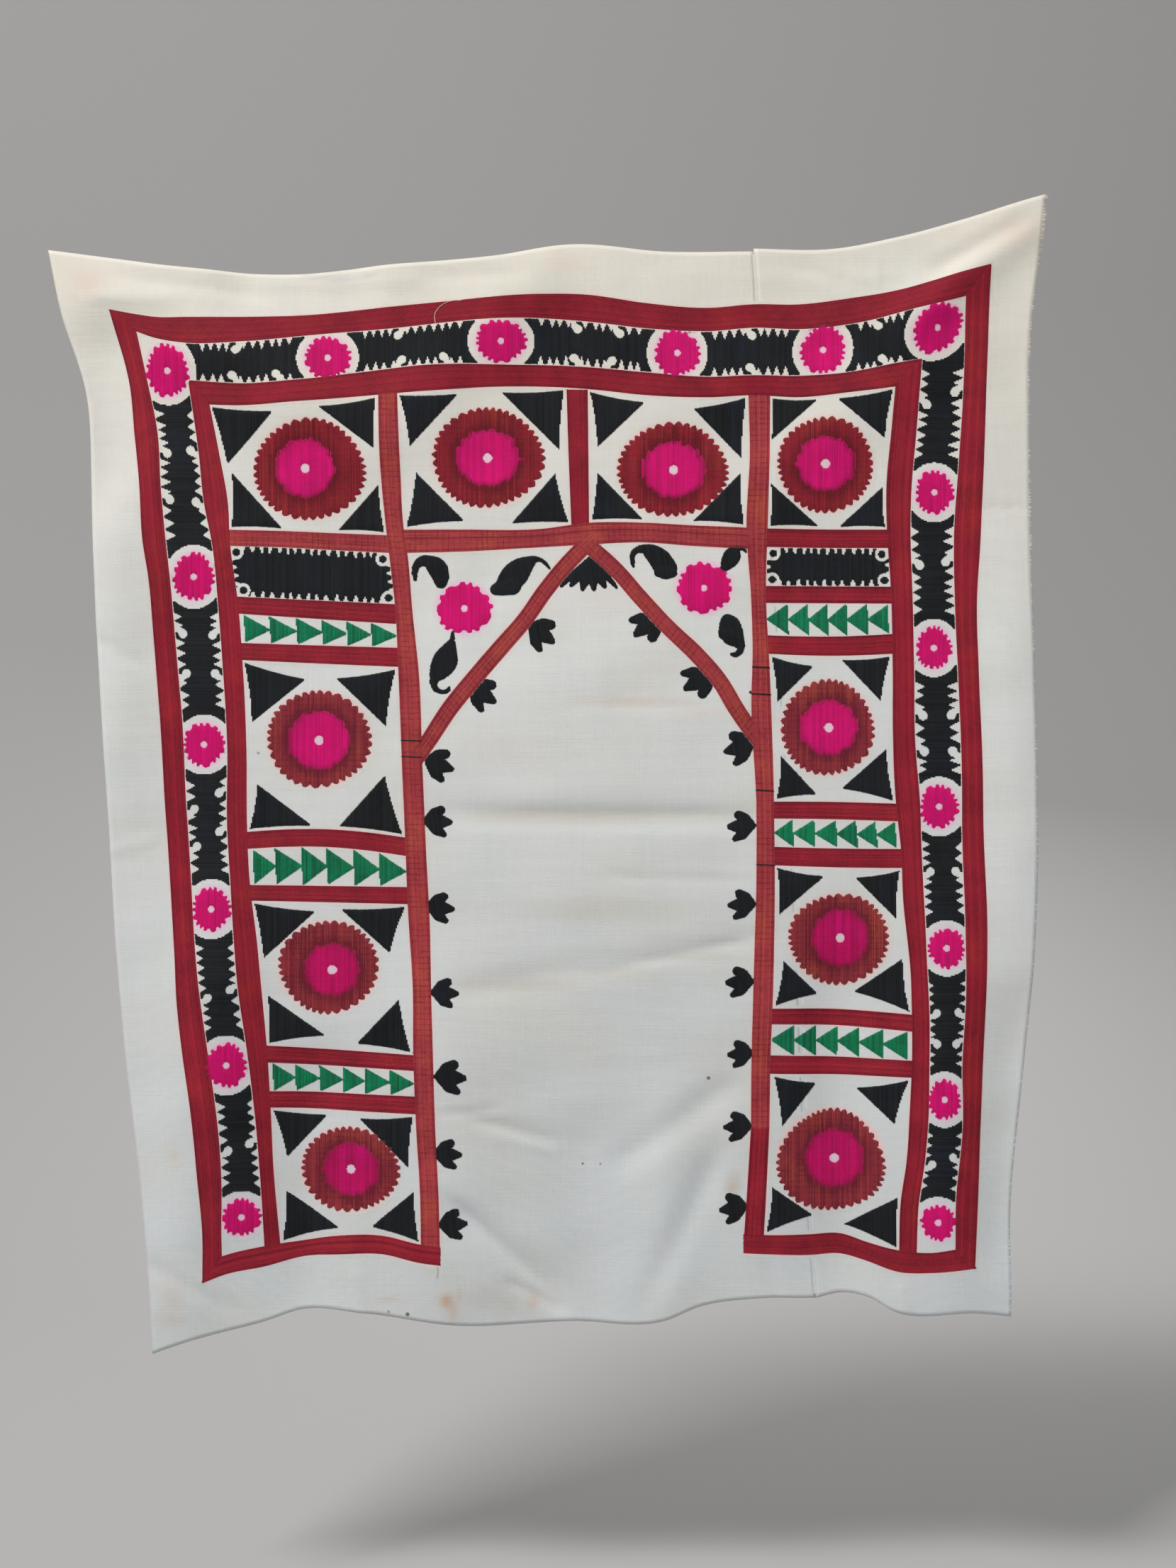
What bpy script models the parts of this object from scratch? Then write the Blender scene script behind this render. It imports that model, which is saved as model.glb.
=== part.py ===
"""A suzani, an embroidered cotton cloth of two sewn panels, as it hangs by its top edge.

Metres. X runs to the viewer's right, Z up, and the face of the cloth looks along -Y.
The origin is at the middle of the top edge, where the cloth is held. Each panel is one
solid, cut to the outline that it shows from the front, and its depth comes from the folds
below.
"""

from collections import namedtuple

import bpy
import numpy as np

CLOTH_THICKNESS = 0.0018
SEAM_GAP = 0.0003
HEM_BILLOW = 0.016
BILLOW_POWER = 1.7
CLOTH_DROP = 1.568

MAIN_COLUMNS = 32
NARROW_COLUMNS = 11
ROWS = 50
SLOPE_STEP = 0.002
FOLD_END = 0.18

EdgePoint = namedtuple("EdgePoint", "across up")
Fold = namedtuple("Fold", "start_x start_z end_x end_z half_width height")

# The top edge sags between the hold at the left corner and the one in the middle.
MAIN_TOP_EDGE = (
    EdgePoint(across=-0.737, up=-0.007),
    EdgePoint(across=-0.556, up=-0.030),
    EdgePoint(across=-0.372, up=-0.039),
    EdgePoint(across=-0.275, up=-0.029),
    EdgePoint(across=-0.097, up=-0.014),
    EdgePoint(across=0.000, up=0.000),
    EdgePoint(across=0.145, up=-0.009),
    EdgePoint(across=0.2645, up=-0.009),
)
# The narrow panel was cut 4 mm longer at the seam, and its corner is pulled up by its hold.
NARROW_TOP_EDGE = (
    EdgePoint(across=0.2645, up=-0.005),
    EdgePoint(across=0.377, up=-0.005),
    EdgePoint(across=0.466, up=0.011),
    EdgePoint(across=0.556, up=0.035),
    EdgePoint(across=0.680, up=0.073),
)
LEFT_EDGE = (
    EdgePoint(across=-0.737, up=-0.007),
    EdgePoint(across=-0.719, up=-0.093),
    EdgePoint(across=-0.684, up=-0.210),
    EdgePoint(across=-0.676, up=-0.343),
    EdgePoint(across=-0.667, up=-0.530),
    EdgePoint(across=-0.651, up=-0.793),
    EdgePoint(across=-0.641, up=-0.971),
    EdgePoint(across=-0.624, up=-1.160),
    EdgePoint(across=-0.602, up=-1.338),
    EdgePoint(across=-0.587, up=-1.508),
    EdgePoint(across=-0.584, up=-1.568),
)
SEAM_LINE = (
    EdgePoint(across=0.2645, up=-0.007),
    EdgePoint(across=0.294, up=-0.450),
    EdgePoint(across=0.324, up=-0.950),
    EdgePoint(across=0.345, up=-1.400),
    EdgePoint(across=0.352, up=-1.492),
)
RIGHT_EDGE = (
    EdgePoint(across=0.680, up=0.073),
    EdgePoint(across=0.673, up=-0.003),
    EdgePoint(across=0.661, up=-0.096),
    EdgePoint(across=0.657, up=-0.311),
    EdgePoint(across=0.658, up=-0.456),
    EdgePoint(across=0.663, up=-0.630),
    EdgePoint(across=0.664, up=-0.941),
    EdgePoint(across=0.655, up=-1.088),
    EdgePoint(across=0.643, up=-1.209),
    EdgePoint(across=0.629, up=-1.347),
    EdgePoint(across=0.627, up=-1.517),
)
MAIN_BOTTOM_EDGE = (
    EdgePoint(across=-0.584, up=-1.568),
    EdgePoint(across=-0.542, up=-1.553),
    EdgePoint(across=-0.426, up=-1.524),
    EdgePoint(across=-0.377, up=-1.509),
    EdgePoint(across=-0.283, up=-1.513),
    EdgePoint(across=-0.158, up=-1.528),
    EdgePoint(across=0.000, up=-1.524),
    EdgePoint(across=0.140, up=-1.522),
    EdgePoint(across=0.185, up=-1.504),
    EdgePoint(across=0.268, up=-1.492),
    EdgePoint(across=0.352, up=-1.492),
)
NARROW_BOTTOM_EDGE = (
    EdgePoint(across=0.352, up=-1.492),
    EdgePoint(across=0.391, up=-1.485),
    EdgePoint(across=0.429, up=-1.492),
    EdgePoint(across=0.460, up=-1.509),
    EdgePoint(across=0.580, up=-1.512),
    EdgePoint(across=0.627, up=-1.517),
)

# A fold stands out from the cloth where its height is positive, and is a trough where it isn't.
FOLDS = {
    "hem ridge at the left corner": Fold(-0.500, -0.950, -0.555, -1.568, 0.065, 0.014),
    "hem trough left": Fold(-0.360, -1.150, -0.375, -1.520, 0.055, -0.011),
    "hem ridge left of the middle": Fold(-0.170, -1.050, -0.150, -1.540, 0.085, 0.012),
    "hem trough in the middle": Fold(0.020, -1.250, 0.040, -1.530, 0.050, -0.006),
    "hem ridge before the seam": Fold(0.150, -1.200, 0.130, -1.530, 0.045, 0.007),
    "hem trough past the seam": Fold(0.380, -1.000, 0.390, -1.500, 0.055, -0.013),
    "hem ridge right": Fold(0.530, -0.950, 0.540, -1.530, 0.060, 0.011),
    "sag from the left hold": Fold(-0.690, -0.045, -0.330, -0.260, 0.060, 0.010),
    "sag from the middle hold left": Fold(-0.010, -0.020, -0.300, -0.300, 0.055, 0.008),
    "slack under the sagging edge": Fold(-0.480, -0.030, -0.280, -0.035, 0.060, -0.008),
    "sag from the middle hold right": Fold(0.010, -0.020, 0.230, -0.260, 0.060, 0.006),
    "pull from the right hold": Fold(0.660, 0.045, 0.470, -0.120, 0.035, 0.011),
    "long pull from the right hold": Fold(0.560, -0.060, 0.230, -0.420, 0.070, 0.007),
    "crease at the right corner": Fold(0.652, 0.038, 0.520, -0.040, 0.016, -0.007),
    "belly of the field": Fold(-0.050, -0.550, 0.060, -1.150, 0.180, 0.010),
    "crease across the field": Fold(-0.180, -0.806, 0.270, -0.812, 0.018, -0.005),
    "rising crease": Fold(-0.143, -1.053, 0.263, -0.988, 0.020, -0.004),
    "diagonal trough": Fold(-0.160, -1.360, -0.005, -1.485, 0.020, -0.006),
    "right diagonal": Fold(0.236, -1.188, 0.070, -1.305, 0.022, -0.005),
    "lower right diagonal": Fold(0.219, -1.278, 0.110, -1.500, 0.022, -0.005),
    "left side wave": Fold(-0.640, -0.350, -0.640, -0.800, 0.050, 0.009),
    "left side hollow": Fold(-0.655, -0.110, -0.650, -0.380, 0.045, -0.007),
    "right side wave": Fold(0.640, -0.450, 0.640, -1.050, 0.050, 0.009),
    "right side hollow": Fold(0.640, -1.080, 0.615, -1.420, 0.045, -0.008),
}


def eased(share):
    """A share from 0 to 1 that starts and ends gently."""
    share = np.clip(share, 0.0, 1.0)
    return share * share * (3.0 - 2.0 * share)


def fold_height(fold, x, z):
    """How far one fold lifts the cloth at x, z."""
    run_x = fold.end_x - fold.start_x
    run_z = fold.end_z - fold.start_z
    length = np.hypot(run_x, run_z)
    along = ((x - fold.start_x) * run_x + (z - fold.start_z) * run_z) / length**2
    aside = ((x - fold.start_x) * run_z - (z - fold.start_z) * run_x) / length
    ends = eased((along + FOLD_END) / (2 * FOLD_END)) * eased((1 + FOLD_END - along) / (2 * FOLD_END))
    return fold.height * np.exp(-((aside / fold.half_width) ** 2)) * ends


def relief(x, z):
    """How far the billow and the folds together bring the cloth out."""
    drop = np.clip(-z / CLOTH_DROP, 0.0, 1.0)
    out = HEM_BILLOW * drop**BILLOW_POWER
    for fold in FOLDS.values():
        out = out + fold_height(fold, x, z)
    return out


def cloth_y(x, z):
    """The depth of the middle of the cloth, which is nothing at the origin. Out is -Y."""
    return relief(0.0, 0.0) - relief(x, z)


def smooth_line(table, shares):
    """Points at these shares of the table's length, on a smooth line through its rows."""
    rows = np.array(table, dtype=float)
    steps = np.hypot(*np.diff(rows, axis=0).T)
    places = np.concatenate([[0.0], np.cumsum(steps)]) / steps.sum()
    slopes = np.gradient(rows, places, axis=0)
    index = np.clip(np.searchsorted(places, shares, side="right") - 1, 0, len(rows) - 2)
    width = (places[index + 1] - places[index])[:, None]
    part = ((shares - places[index]) / width[:, 0])[:, None]
    start, end = rows[index], rows[index + 1]
    leave, arrive = slopes[index] * width, slopes[index + 1] * width
    blend = part * part * (3.0 - 2.0 * part)
    bend = part * (1.0 - part)
    return start * (1 - blend) + end * blend + bend * ((1 - part) * leave - part * arrive)


def panel_points(top, bottom, left, right, columns):
    """The x, z grid of a panel between its four edges, as rows from the top edge down."""
    across = np.linspace(0.0, 1.0, columns + 1)
    down = np.linspace(0.0, 1.0, ROWS + 1)
    top_line = smooth_line(top, across)
    bottom_line = smooth_line(bottom, across)
    left_line = smooth_line(left, down)
    right_line = smooth_line(right, down)
    a = across[None, :, None]
    d = down[:, None, None]
    edges = (1 - d) * top_line[None] + d * bottom_line[None]
    sides = (1 - a) * left_line[:, None] + a * right_line[:, None]
    upper = (1 - a) * top_line[0] + a * top_line[-1]
    lower = (1 - a) * bottom_line[0] + a * bottom_line[-1]
    return edges + sides - (1 - d) * upper - d * lower


def face_normals(x, z):
    """Unit normals of the cloth's face, pointing towards the viewer."""
    slope_x = (cloth_y(x + SLOPE_STEP, z) - cloth_y(x - SLOPE_STEP, z)) / (2 * SLOPE_STEP)
    slope_z = (cloth_y(x, z + SLOPE_STEP) - cloth_y(x, z - SLOPE_STEP)) / (2 * SLOPE_STEP)
    normals = np.stack([slope_x, -np.ones_like(x), slope_z], axis=-1)
    return normals / np.linalg.norm(normals, axis=-1, keepdims=True)


def closed_sheet(grid):
    """Vertices and faces of the sheet that has its thickness on both sides of this grid."""
    x, z = grid[..., 0], grid[..., 1]
    middle = np.stack([x, cloth_y(x, z), z], axis=-1)
    half = face_normals(x, z) * CLOTH_THICKNESS / 2
    rows, columns = x.shape
    front_first, back_first = 0, rows * columns
    points = np.concatenate([(middle + half).reshape(-1, 3), (middle - half).reshape(-1, 3)])

    def at(first, row, column):
        return first + row * columns + column

    faces = []
    for row in range(rows - 1):
        for column in range(columns - 1):
            ring = ((row, column), (row + 1, column), (row + 1, column + 1), (row, column + 1))
            faces.append([at(front_first, *corner) for corner in ring])
            faces.append([at(back_first, *corner) for corner in reversed(ring)])
    rim = [(0, column) for column in range(columns - 1)]
    rim += [(row, columns - 1) for row in range(rows - 1)]
    rim += [(rows - 1, column) for column in range(columns - 1, 0, -1)]
    rim += [(row, 0) for row in range(rows - 1, 0, -1)]
    for here, following in zip(rim, rim[1:] + rim[:1]):
        faces.append([
            at(front_first, *here),
            at(front_first, *following),
            at(back_first, *following),
            at(back_first, *here),
        ])
    return points, faces


def cotton_material(name, colour):
    material = bpy.data.materials.new(name)
    material.use_nodes = True
    shader = material.node_tree.nodes["Principled BSDF"]
    shader.inputs["Base Color"].default_value = colour
    shader.inputs["Roughness"].default_value = 0.9
    return material


def add_panel(name, grid, colour):
    points, faces = closed_sheet(grid)
    mesh = bpy.data.meshes.new(name)
    mesh.from_pydata(points.tolist(), [], faces)
    mesh.validate()
    mesh.materials.append(cotton_material(name + "_cotton", colour))
    panel = bpy.data.objects.new(name, mesh)
    bpy.context.scene.collection.objects.link(panel)


def seam_edge(side):
    """The seam line moved half the gap to one side: -1 for the main panel, 1 for the narrow."""
    return tuple(EdgePoint(row.across + side * SEAM_GAP / 2, row.up) for row in SEAM_LINE)


def ends_at(table, first=None, last=None):
    """The edge table with its first or last row put where another edge ends."""
    rows = list(table)
    if first is not None:
        rows[0] = first
    if last is not None:
        rows[-1] = last
    return tuple(rows)


def build():
    for old in list(bpy.data.objects):
        bpy.data.objects.remove(old)
    main_seam = seam_edge(-1)
    narrow_seam = seam_edge(1)
    main_seam = ends_at(main_seam, first=EdgePoint(main_seam[0].across, MAIN_TOP_EDGE[-1].up))
    narrow_seam = ends_at(narrow_seam, first=EdgePoint(narrow_seam[0].across, NARROW_TOP_EDGE[0].up))
    add_panel(
        "main_panel",
        panel_points(
            ends_at(MAIN_TOP_EDGE, last=main_seam[0]),
            ends_at(MAIN_BOTTOM_EDGE, last=main_seam[-1]),
            LEFT_EDGE,
            main_seam,
            MAIN_COLUMNS,
        ),
        (0.80, 0.78, 0.72, 1.0),
    )
    add_panel(
        "narrow_panel",
        panel_points(
            ends_at(NARROW_TOP_EDGE, first=narrow_seam[0]),
            ends_at(NARROW_BOTTOM_EDGE, first=narrow_seam[-1]),
            narrow_seam,
            RIGHT_EDGE,
            NARROW_COLUMNS,
        ),
        (0.78, 0.77, 0.73, 1.0),
    )


build()
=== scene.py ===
"""The suzani as it looks: its woven panels, and each stitched motif as raised rows of thread.

The cloth hangs as in the part's source, whose outline and folds are repeated here. Motifs
are drawn in millimetres, right of and below the drawing's corner, and every point is laid
on the hanging cloth by one function.
"""

import math
from collections import namedtuple

import bmesh
import bpy
import numpy as np
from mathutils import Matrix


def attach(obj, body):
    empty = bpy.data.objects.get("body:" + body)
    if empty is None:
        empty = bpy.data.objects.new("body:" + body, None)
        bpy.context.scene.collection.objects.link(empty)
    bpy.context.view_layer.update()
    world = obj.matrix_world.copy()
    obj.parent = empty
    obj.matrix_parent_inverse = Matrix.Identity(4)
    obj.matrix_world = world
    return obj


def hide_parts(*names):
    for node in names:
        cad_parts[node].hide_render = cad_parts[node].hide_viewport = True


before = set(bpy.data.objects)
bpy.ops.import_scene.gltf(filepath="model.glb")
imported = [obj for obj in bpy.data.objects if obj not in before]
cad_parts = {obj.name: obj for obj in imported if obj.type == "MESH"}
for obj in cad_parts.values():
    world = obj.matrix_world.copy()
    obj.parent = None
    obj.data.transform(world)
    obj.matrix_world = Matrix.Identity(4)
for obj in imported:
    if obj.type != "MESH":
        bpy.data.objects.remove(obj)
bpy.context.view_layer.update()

MM = 0.001
DRAWING_HOLD_RIGHT = 800.0
DRAWING_HOLD_DOWN = 341.0
RNG = np.random.default_rng(27)

# The cloth, as in the part's source.
CLOTH_THICKNESS = 0.0008
SEAM_GAP = 0.0003
HEM_BILLOW = 0.016
BILLOW_POWER = 1.7
CLOTH_DROP = 1.568
SLOPE_STEP = 0.0015
FOLD_END = 0.18

EdgePoint = namedtuple("EdgePoint", "across up")
Fold = namedtuple("Fold", "start_x start_z end_x end_z half_width height")

MAIN_TOP_EDGE = (
    EdgePoint(-0.737, -0.007), EdgePoint(-0.556, -0.030), EdgePoint(-0.372, -0.039),
    EdgePoint(-0.275, -0.029), EdgePoint(-0.097, -0.014), EdgePoint(0.000, 0.000),
    EdgePoint(0.145, -0.009), EdgePoint(0.2645, -0.009),
)
NARROW_TOP_EDGE = (
    EdgePoint(0.2645, -0.005), EdgePoint(0.377, -0.005), EdgePoint(0.466, 0.011),
    EdgePoint(0.556, 0.035), EdgePoint(0.680, 0.073),
)
LEFT_EDGE = (
    EdgePoint(-0.737, -0.007), EdgePoint(-0.719, -0.093), EdgePoint(-0.684, -0.210),
    EdgePoint(-0.676, -0.343), EdgePoint(-0.667, -0.530), EdgePoint(-0.651, -0.793),
    EdgePoint(-0.641, -0.971), EdgePoint(-0.624, -1.160), EdgePoint(-0.602, -1.338),
    EdgePoint(-0.587, -1.508), EdgePoint(-0.584, -1.568),
)
SEAM_LINE = (
    EdgePoint(0.2645, -0.007), EdgePoint(0.294, -0.450), EdgePoint(0.324, -0.950),
    EdgePoint(0.345, -1.400), EdgePoint(0.352, -1.492),
)
RIGHT_EDGE = (
    EdgePoint(0.680, 0.073), EdgePoint(0.673, -0.003), EdgePoint(0.661, -0.096),
    EdgePoint(0.657, -0.311), EdgePoint(0.658, -0.456), EdgePoint(0.663, -0.630),
    EdgePoint(0.664, -0.941), EdgePoint(0.655, -1.088), EdgePoint(0.643, -1.209),
    EdgePoint(0.629, -1.347), EdgePoint(0.627, -1.517),
)
MAIN_BOTTOM_EDGE = (
    EdgePoint(-0.584, -1.568), EdgePoint(-0.542, -1.553), EdgePoint(-0.426, -1.524),
    EdgePoint(-0.377, -1.509), EdgePoint(-0.283, -1.513), EdgePoint(-0.158, -1.528),
    EdgePoint(0.000, -1.524), EdgePoint(0.140, -1.522), EdgePoint(0.185, -1.504),
    EdgePoint(0.268, -1.492), EdgePoint(0.352, -1.492),
)
NARROW_BOTTOM_EDGE = (
    EdgePoint(0.352, -1.492), EdgePoint(0.391, -1.485), EdgePoint(0.429, -1.492),
    EdgePoint(0.460, -1.509), EdgePoint(0.580, -1.512), EdgePoint(0.627, -1.517),
)

FOLDS = {
    "hem ridge at the left corner": Fold(-0.500, -0.950, -0.555, -1.568, 0.065, 0.014),
    "hem trough left": Fold(-0.360, -1.150, -0.375, -1.520, 0.055, -0.011),
    "hem ridge left of the middle": Fold(-0.170, -1.050, -0.150, -1.540, 0.085, 0.012),
    "hem trough in the middle": Fold(0.020, -1.250, 0.040, -1.530, 0.050, -0.006),
    "hem ridge before the seam": Fold(0.150, -1.200, 0.130, -1.530, 0.045, 0.007),
    "hem trough past the seam": Fold(0.380, -1.000, 0.390, -1.500, 0.055, -0.013),
    "hem ridge right": Fold(0.530, -0.950, 0.540, -1.530, 0.060, 0.011),
    "sag from the left hold": Fold(-0.690, -0.045, -0.330, -0.260, 0.060, 0.010),
    "sag from the middle hold left": Fold(-0.010, -0.020, -0.300, -0.300, 0.055, 0.008),
    "slack under the sagging edge": Fold(-0.480, -0.030, -0.280, -0.035, 0.060, -0.008),
    "sag from the middle hold right": Fold(0.010, -0.020, 0.230, -0.260, 0.060, 0.006),
    "pull from the right hold": Fold(0.660, 0.045, 0.470, -0.120, 0.035, 0.011),
    "long pull from the right hold": Fold(0.560, -0.060, 0.230, -0.420, 0.070, 0.007),
    "crease at the right corner": Fold(0.652, 0.038, 0.520, -0.040, 0.016, -0.007),
    "belly of the field": Fold(-0.050, -0.550, 0.060, -1.150, 0.180, 0.010),
    "crease across the field": Fold(-0.180, -0.806, 0.270, -0.812, 0.018, -0.005),
    "rising crease": Fold(-0.143, -1.053, 0.263, -0.988, 0.020, -0.004),
    "diagonal trough": Fold(-0.160, -1.360, -0.005, -1.485, 0.020, -0.006),
    "right diagonal": Fold(0.236, -1.188, 0.070, -1.305, 0.022, -0.005),
    "lower right diagonal": Fold(0.219, -1.278, 0.110, -1.500, 0.022, -0.005),
    "left side wave": Fold(-0.640, -0.350, -0.640, -0.800, 0.050, 0.009),
    "left side hollow": Fold(-0.655, -0.110, -0.650, -0.380, 0.045, -0.007),
    "right side wave": Fold(0.640, -0.450, 0.640, -1.050, 0.050, 0.009),
    "right side hollow": Fold(0.640, -1.080, 0.615, -1.420, 0.045, -0.008),
}
# Fine creases that only the dressed cloth has.
CREASES = {
    "pinkish crease in the field": Fold(0.010, -0.652, 0.185, -0.656, 0.007, -0.0010),
    "second crease in the field": Fold(0.030, -0.899, 0.225, -0.899, 0.007, -0.0010),
    "pucker under the bud": Fold(-0.178, -1.231, -0.098, -1.223, 0.005, -0.0020),
    "pucker beside it": Fold(-0.142, -1.234, -0.018, -1.271, 0.009, -0.0030),
    "ridge beside it": Fold(-0.110, -1.262, -0.015, -1.284, 0.008, 0.0012),
    "line of the diagonal trough": Fold(-0.168, -1.350, -0.008, -1.498, 0.008, -0.0040),
    "short hem trough": Fold(-0.085, -1.466, -0.006, -1.510, 0.007, -0.0048),
    "light line in the field": Fold(0.030, -0.876, 0.112, -0.906, 0.004, -0.0009),
    "light line below it": Fold(0.045, -1.147, 0.155, -1.149, 0.004, 0.0010),
    "line of the rising crease": Fold(0.050, -1.030, 0.262, -0.983, 0.007, -0.0016),
    "line of the crease across": Fold(-0.090, -0.806, 0.215, -0.808, 0.006, -0.0016),
    "top margin wrinkle 1": Fold(-0.680, -0.075, -0.560, -0.078, 0.010, 0.0020),
    "top margin wrinkle 2": Fold(-0.640, -0.045, -0.430, -0.072, 0.009, -0.0016),
    "top margin wrinkle 3": Fold(-0.430, -0.052, -0.200, -0.050, 0.010, 0.0014),
    "top margin wrinkle 4": Fold(-0.200, -0.045, -0.060, -0.040, 0.009, -0.0013),
    "right margin crease": Fold(0.592, -0.372, 0.655, -0.371, 0.004, -0.0012),
    "top right wrinkle": Fold(0.330, -0.030, 0.400, -0.055, 0.010, -0.0018),
    "top right wrinkle 2": Fold(0.270, -0.050, 0.480, -0.045, 0.012, 0.0012),
    "left margin wrinkle": Fold(-0.665, -0.560, -0.600, -0.600, 0.010, -0.0016),
    "left margin wrinkle 2": Fold(-0.655, -0.860, -0.585, -0.845, 0.009, 0.0014),
    "left bottom wrinkle": Fold(-0.590, -1.440, -0.470, -1.510, 0.012, -0.0022),
    "bottom wrinkle": Fold(-0.300, -1.450, -0.290, -1.520, 0.011, 0.0020),
    "bottom wrinkle 2": Fold(0.280, -1.440, 0.300, -1.495, 0.010, -0.0018),
    "bottom wrinkle 3": Fold(0.470, -1.470, 0.480, -1.512, 0.010, 0.0020),
}


def eased(share):
    """A share from 0 to 1 that starts and ends gently."""
    share = np.clip(share, 0.0, 1.0)
    return share * share * (3.0 - 2.0 * share)


def fold_height(fold, x, z):
    """How far one fold lifts the cloth at x, z."""
    run_x = fold.end_x - fold.start_x
    run_z = fold.end_z - fold.start_z
    length = np.hypot(run_x, run_z)
    along = ((x - fold.start_x) * run_x + (z - fold.start_z) * run_z) / length**2
    aside = ((x - fold.start_x) * run_z - (z - fold.start_z) * run_x) / length
    ends = eased((along + FOLD_END) / (2 * FOLD_END)) * eased((1 + FOLD_END - along) / (2 * FOLD_END))
    return fold.height * np.exp(-((aside / fold.half_width) ** 2)) * ends


# Ripples of slack cloth, as waves: how long across and down, how high, and where they start.
Ripple = namedtuple("Ripple", "per_x per_z height start")
RIPPLES = (
    Ripple(per_x=31.0, per_z=17.0, height=0.00045, start=0.3),
    Ripple(per_x=-23.0, per_z=41.0, height=0.00040, start=1.9),
    Ripple(per_x=64.0, per_z=9.0, height=0.00022, start=4.0),
    Ripple(per_x=12.0, per_z=-71.0, height=0.00022, start=2.6),
)


def relief(x, z):
    """How far the billow, the folds and the creases together bring the cloth out."""
    drop = np.clip(-z / CLOTH_DROP, 0.0, 1.0)
    out = HEM_BILLOW * drop**BILLOW_POWER
    for fold in FOLDS.values():
        out = out + fold_height(fold, x, z)
    for crease in CREASES.values():
        out = out + fold_height(crease, x, z)
    for ripple in RIPPLES:
        out = out + ripple.height * np.sin(x * ripple.per_x + z * ripple.per_z + ripple.start)
    return out


RELIEF_AT_HOLD = relief(0.0, 0.0)


def cloth_y(x, z):
    """The depth of the middle of the cloth, which is nothing at the hold. Out is -Y."""
    return RELIEF_AT_HOLD - relief(x, z)


def on_cloth(x, z, lift):
    """Points this far off the middle of the cloth: a positive lift is towards the viewer."""
    depth = cloth_y(x, z)
    slope_x = (cloth_y(x + SLOPE_STEP, z) - depth) / SLOPE_STEP
    slope_z = (cloth_y(x, z + SLOPE_STEP) - depth) / SLOPE_STEP
    normals = np.stack([slope_x, -np.ones_like(x), slope_z], axis=-1)
    normals /= np.linalg.norm(normals, axis=-1, keepdims=True)
    return np.stack([x, depth, z], axis=-1) + normals * np.asarray(lift)[..., None]


def smooth_line(table, shares):
    """Points at these shares of the table's length, on a smooth line through its rows."""
    rows = np.array(table, dtype=float)
    steps = np.hypot(*np.diff(rows, axis=0).T)
    places = np.concatenate([[0.0], np.cumsum(steps)]) / steps.sum()
    slopes = np.gradient(rows, places, axis=0)
    index = np.clip(np.searchsorted(places, shares, side="right") - 1, 0, len(rows) - 2)
    width = (places[index + 1] - places[index])[:, None]
    part = ((shares - places[index]) / width[:, 0])[:, None]
    start, end = rows[index], rows[index + 1]
    leave, arrive = slopes[index] * width, slopes[index + 1] * width
    blend = part * part * (3.0 - 2.0 * part)
    bend = part * (1.0 - part)
    return start * (1 - blend) + end * blend + bend * ((1 - part) * leave - part * arrive)


def panel_points(top, bottom, left, right, columns, rows):
    """The x, z grid of a panel between its four edges, as rows from the top edge down."""
    across = np.linspace(0.0, 1.0, columns + 1)
    down = np.linspace(0.0, 1.0, rows + 1)
    top_line = smooth_line(top, across)
    bottom_line = smooth_line(bottom, across)
    left_line = smooth_line(left, down)
    right_line = smooth_line(right, down)
    a = across[None, :, None]
    d = down[:, None, None]
    edges = (1 - d) * top_line[None] + d * bottom_line[None]
    sides = (1 - a) * left_line[:, None] + a * right_line[:, None]
    upper = (1 - a) * top_line[0] + a * top_line[-1]
    lower = (1 - a) * bottom_line[0] + a * bottom_line[-1]
    return edges + sides - (1 - d) * upper - d * lower


def seam_edge(side):
    return [EdgePoint(row.across + side * SEAM_GAP / 2, row.up) for row in SEAM_LINE]


# Bands of stitching, each given by its two edges at places along it.
Section = namedtuple("Section", "at low high")

# Bands that run across: at is how far right, low and high are their upper and lower edges.
BANDS_ACROSS = {
    "outer top": (
        Section(151, 434, 449), Section(188, 441, 463), Section(215, 445, 473),
        Section(259, 445, 481), Section(346, 443, 478), Section(428, 440, 469),
        Section(550, 428, 459), Section(652, 419, 449), Section(754, 412, 445),
        Section(820, 412, 449), Section(909, 424, 460), Section(999, 430, 463),
        Section(1063, 425, 458), Section(1132, 425, 460), Section(1206, 416, 452),
        Section(1277, 405, 437), Section(1365, 380, 414), Section(1400, 370, 402),
    ),
    "inner top": (
        Section(264, 534, 566), Section(346, 539, 569), Section(418, 533, 564),
        Section(499, 523, 557), Section(601, 512, 549), Section(703, 511, 542),
        Section(840, 515, 546), Section(909, 522, 554), Section(999, 529, 558),
        Section(1063, 526, 554), Section(1132, 527, 557), Section(1204, 522, 550),
        Section(1266, 510, 542), Section(1302, 504, 536),
    ),
    "squares left": (
        Section(317, 745, 768), Section(397, 747, 770), Section(470, 750, 774),
        Section(548, 753, 778),
    ),
    "squares middle": (
        Section(565, 745, 778), Section(652, 745, 776), Section(760, 744, 770),
        Section(833, 735, 766), Section(905, 735, 763), Section(978, 739, 768),
        Section(1062, 743, 773),
    ),
    "squares right": (Section(1079, 744, 770), Section(1170, 745, 771), Section(1262, 745, 771)),
    "bottom left": (
        Section(287, 1782, 1808), Section(312, 1773, 1799), Section(372, 1760, 1788),
        Section(428, 1753, 1775), Section(473, 1746, 1772), Section(539, 1744, 1770),
        Section(593, 1755, 1781), Section(621, 1758, 1784),
    ),
    "bottom right": (
        Section(1050, 1742, 1769), Section(1090, 1744, 1771), Section(1144, 1744, 1773),
        Section(1188, 1744, 1772), Section(1224, 1755, 1781), Section(1269, 1765, 1795),
        Section(1313, 1767, 1795), Section(1347, 1762, 1792), Section(1376, 1760, 1789),
    ),
}
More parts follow.
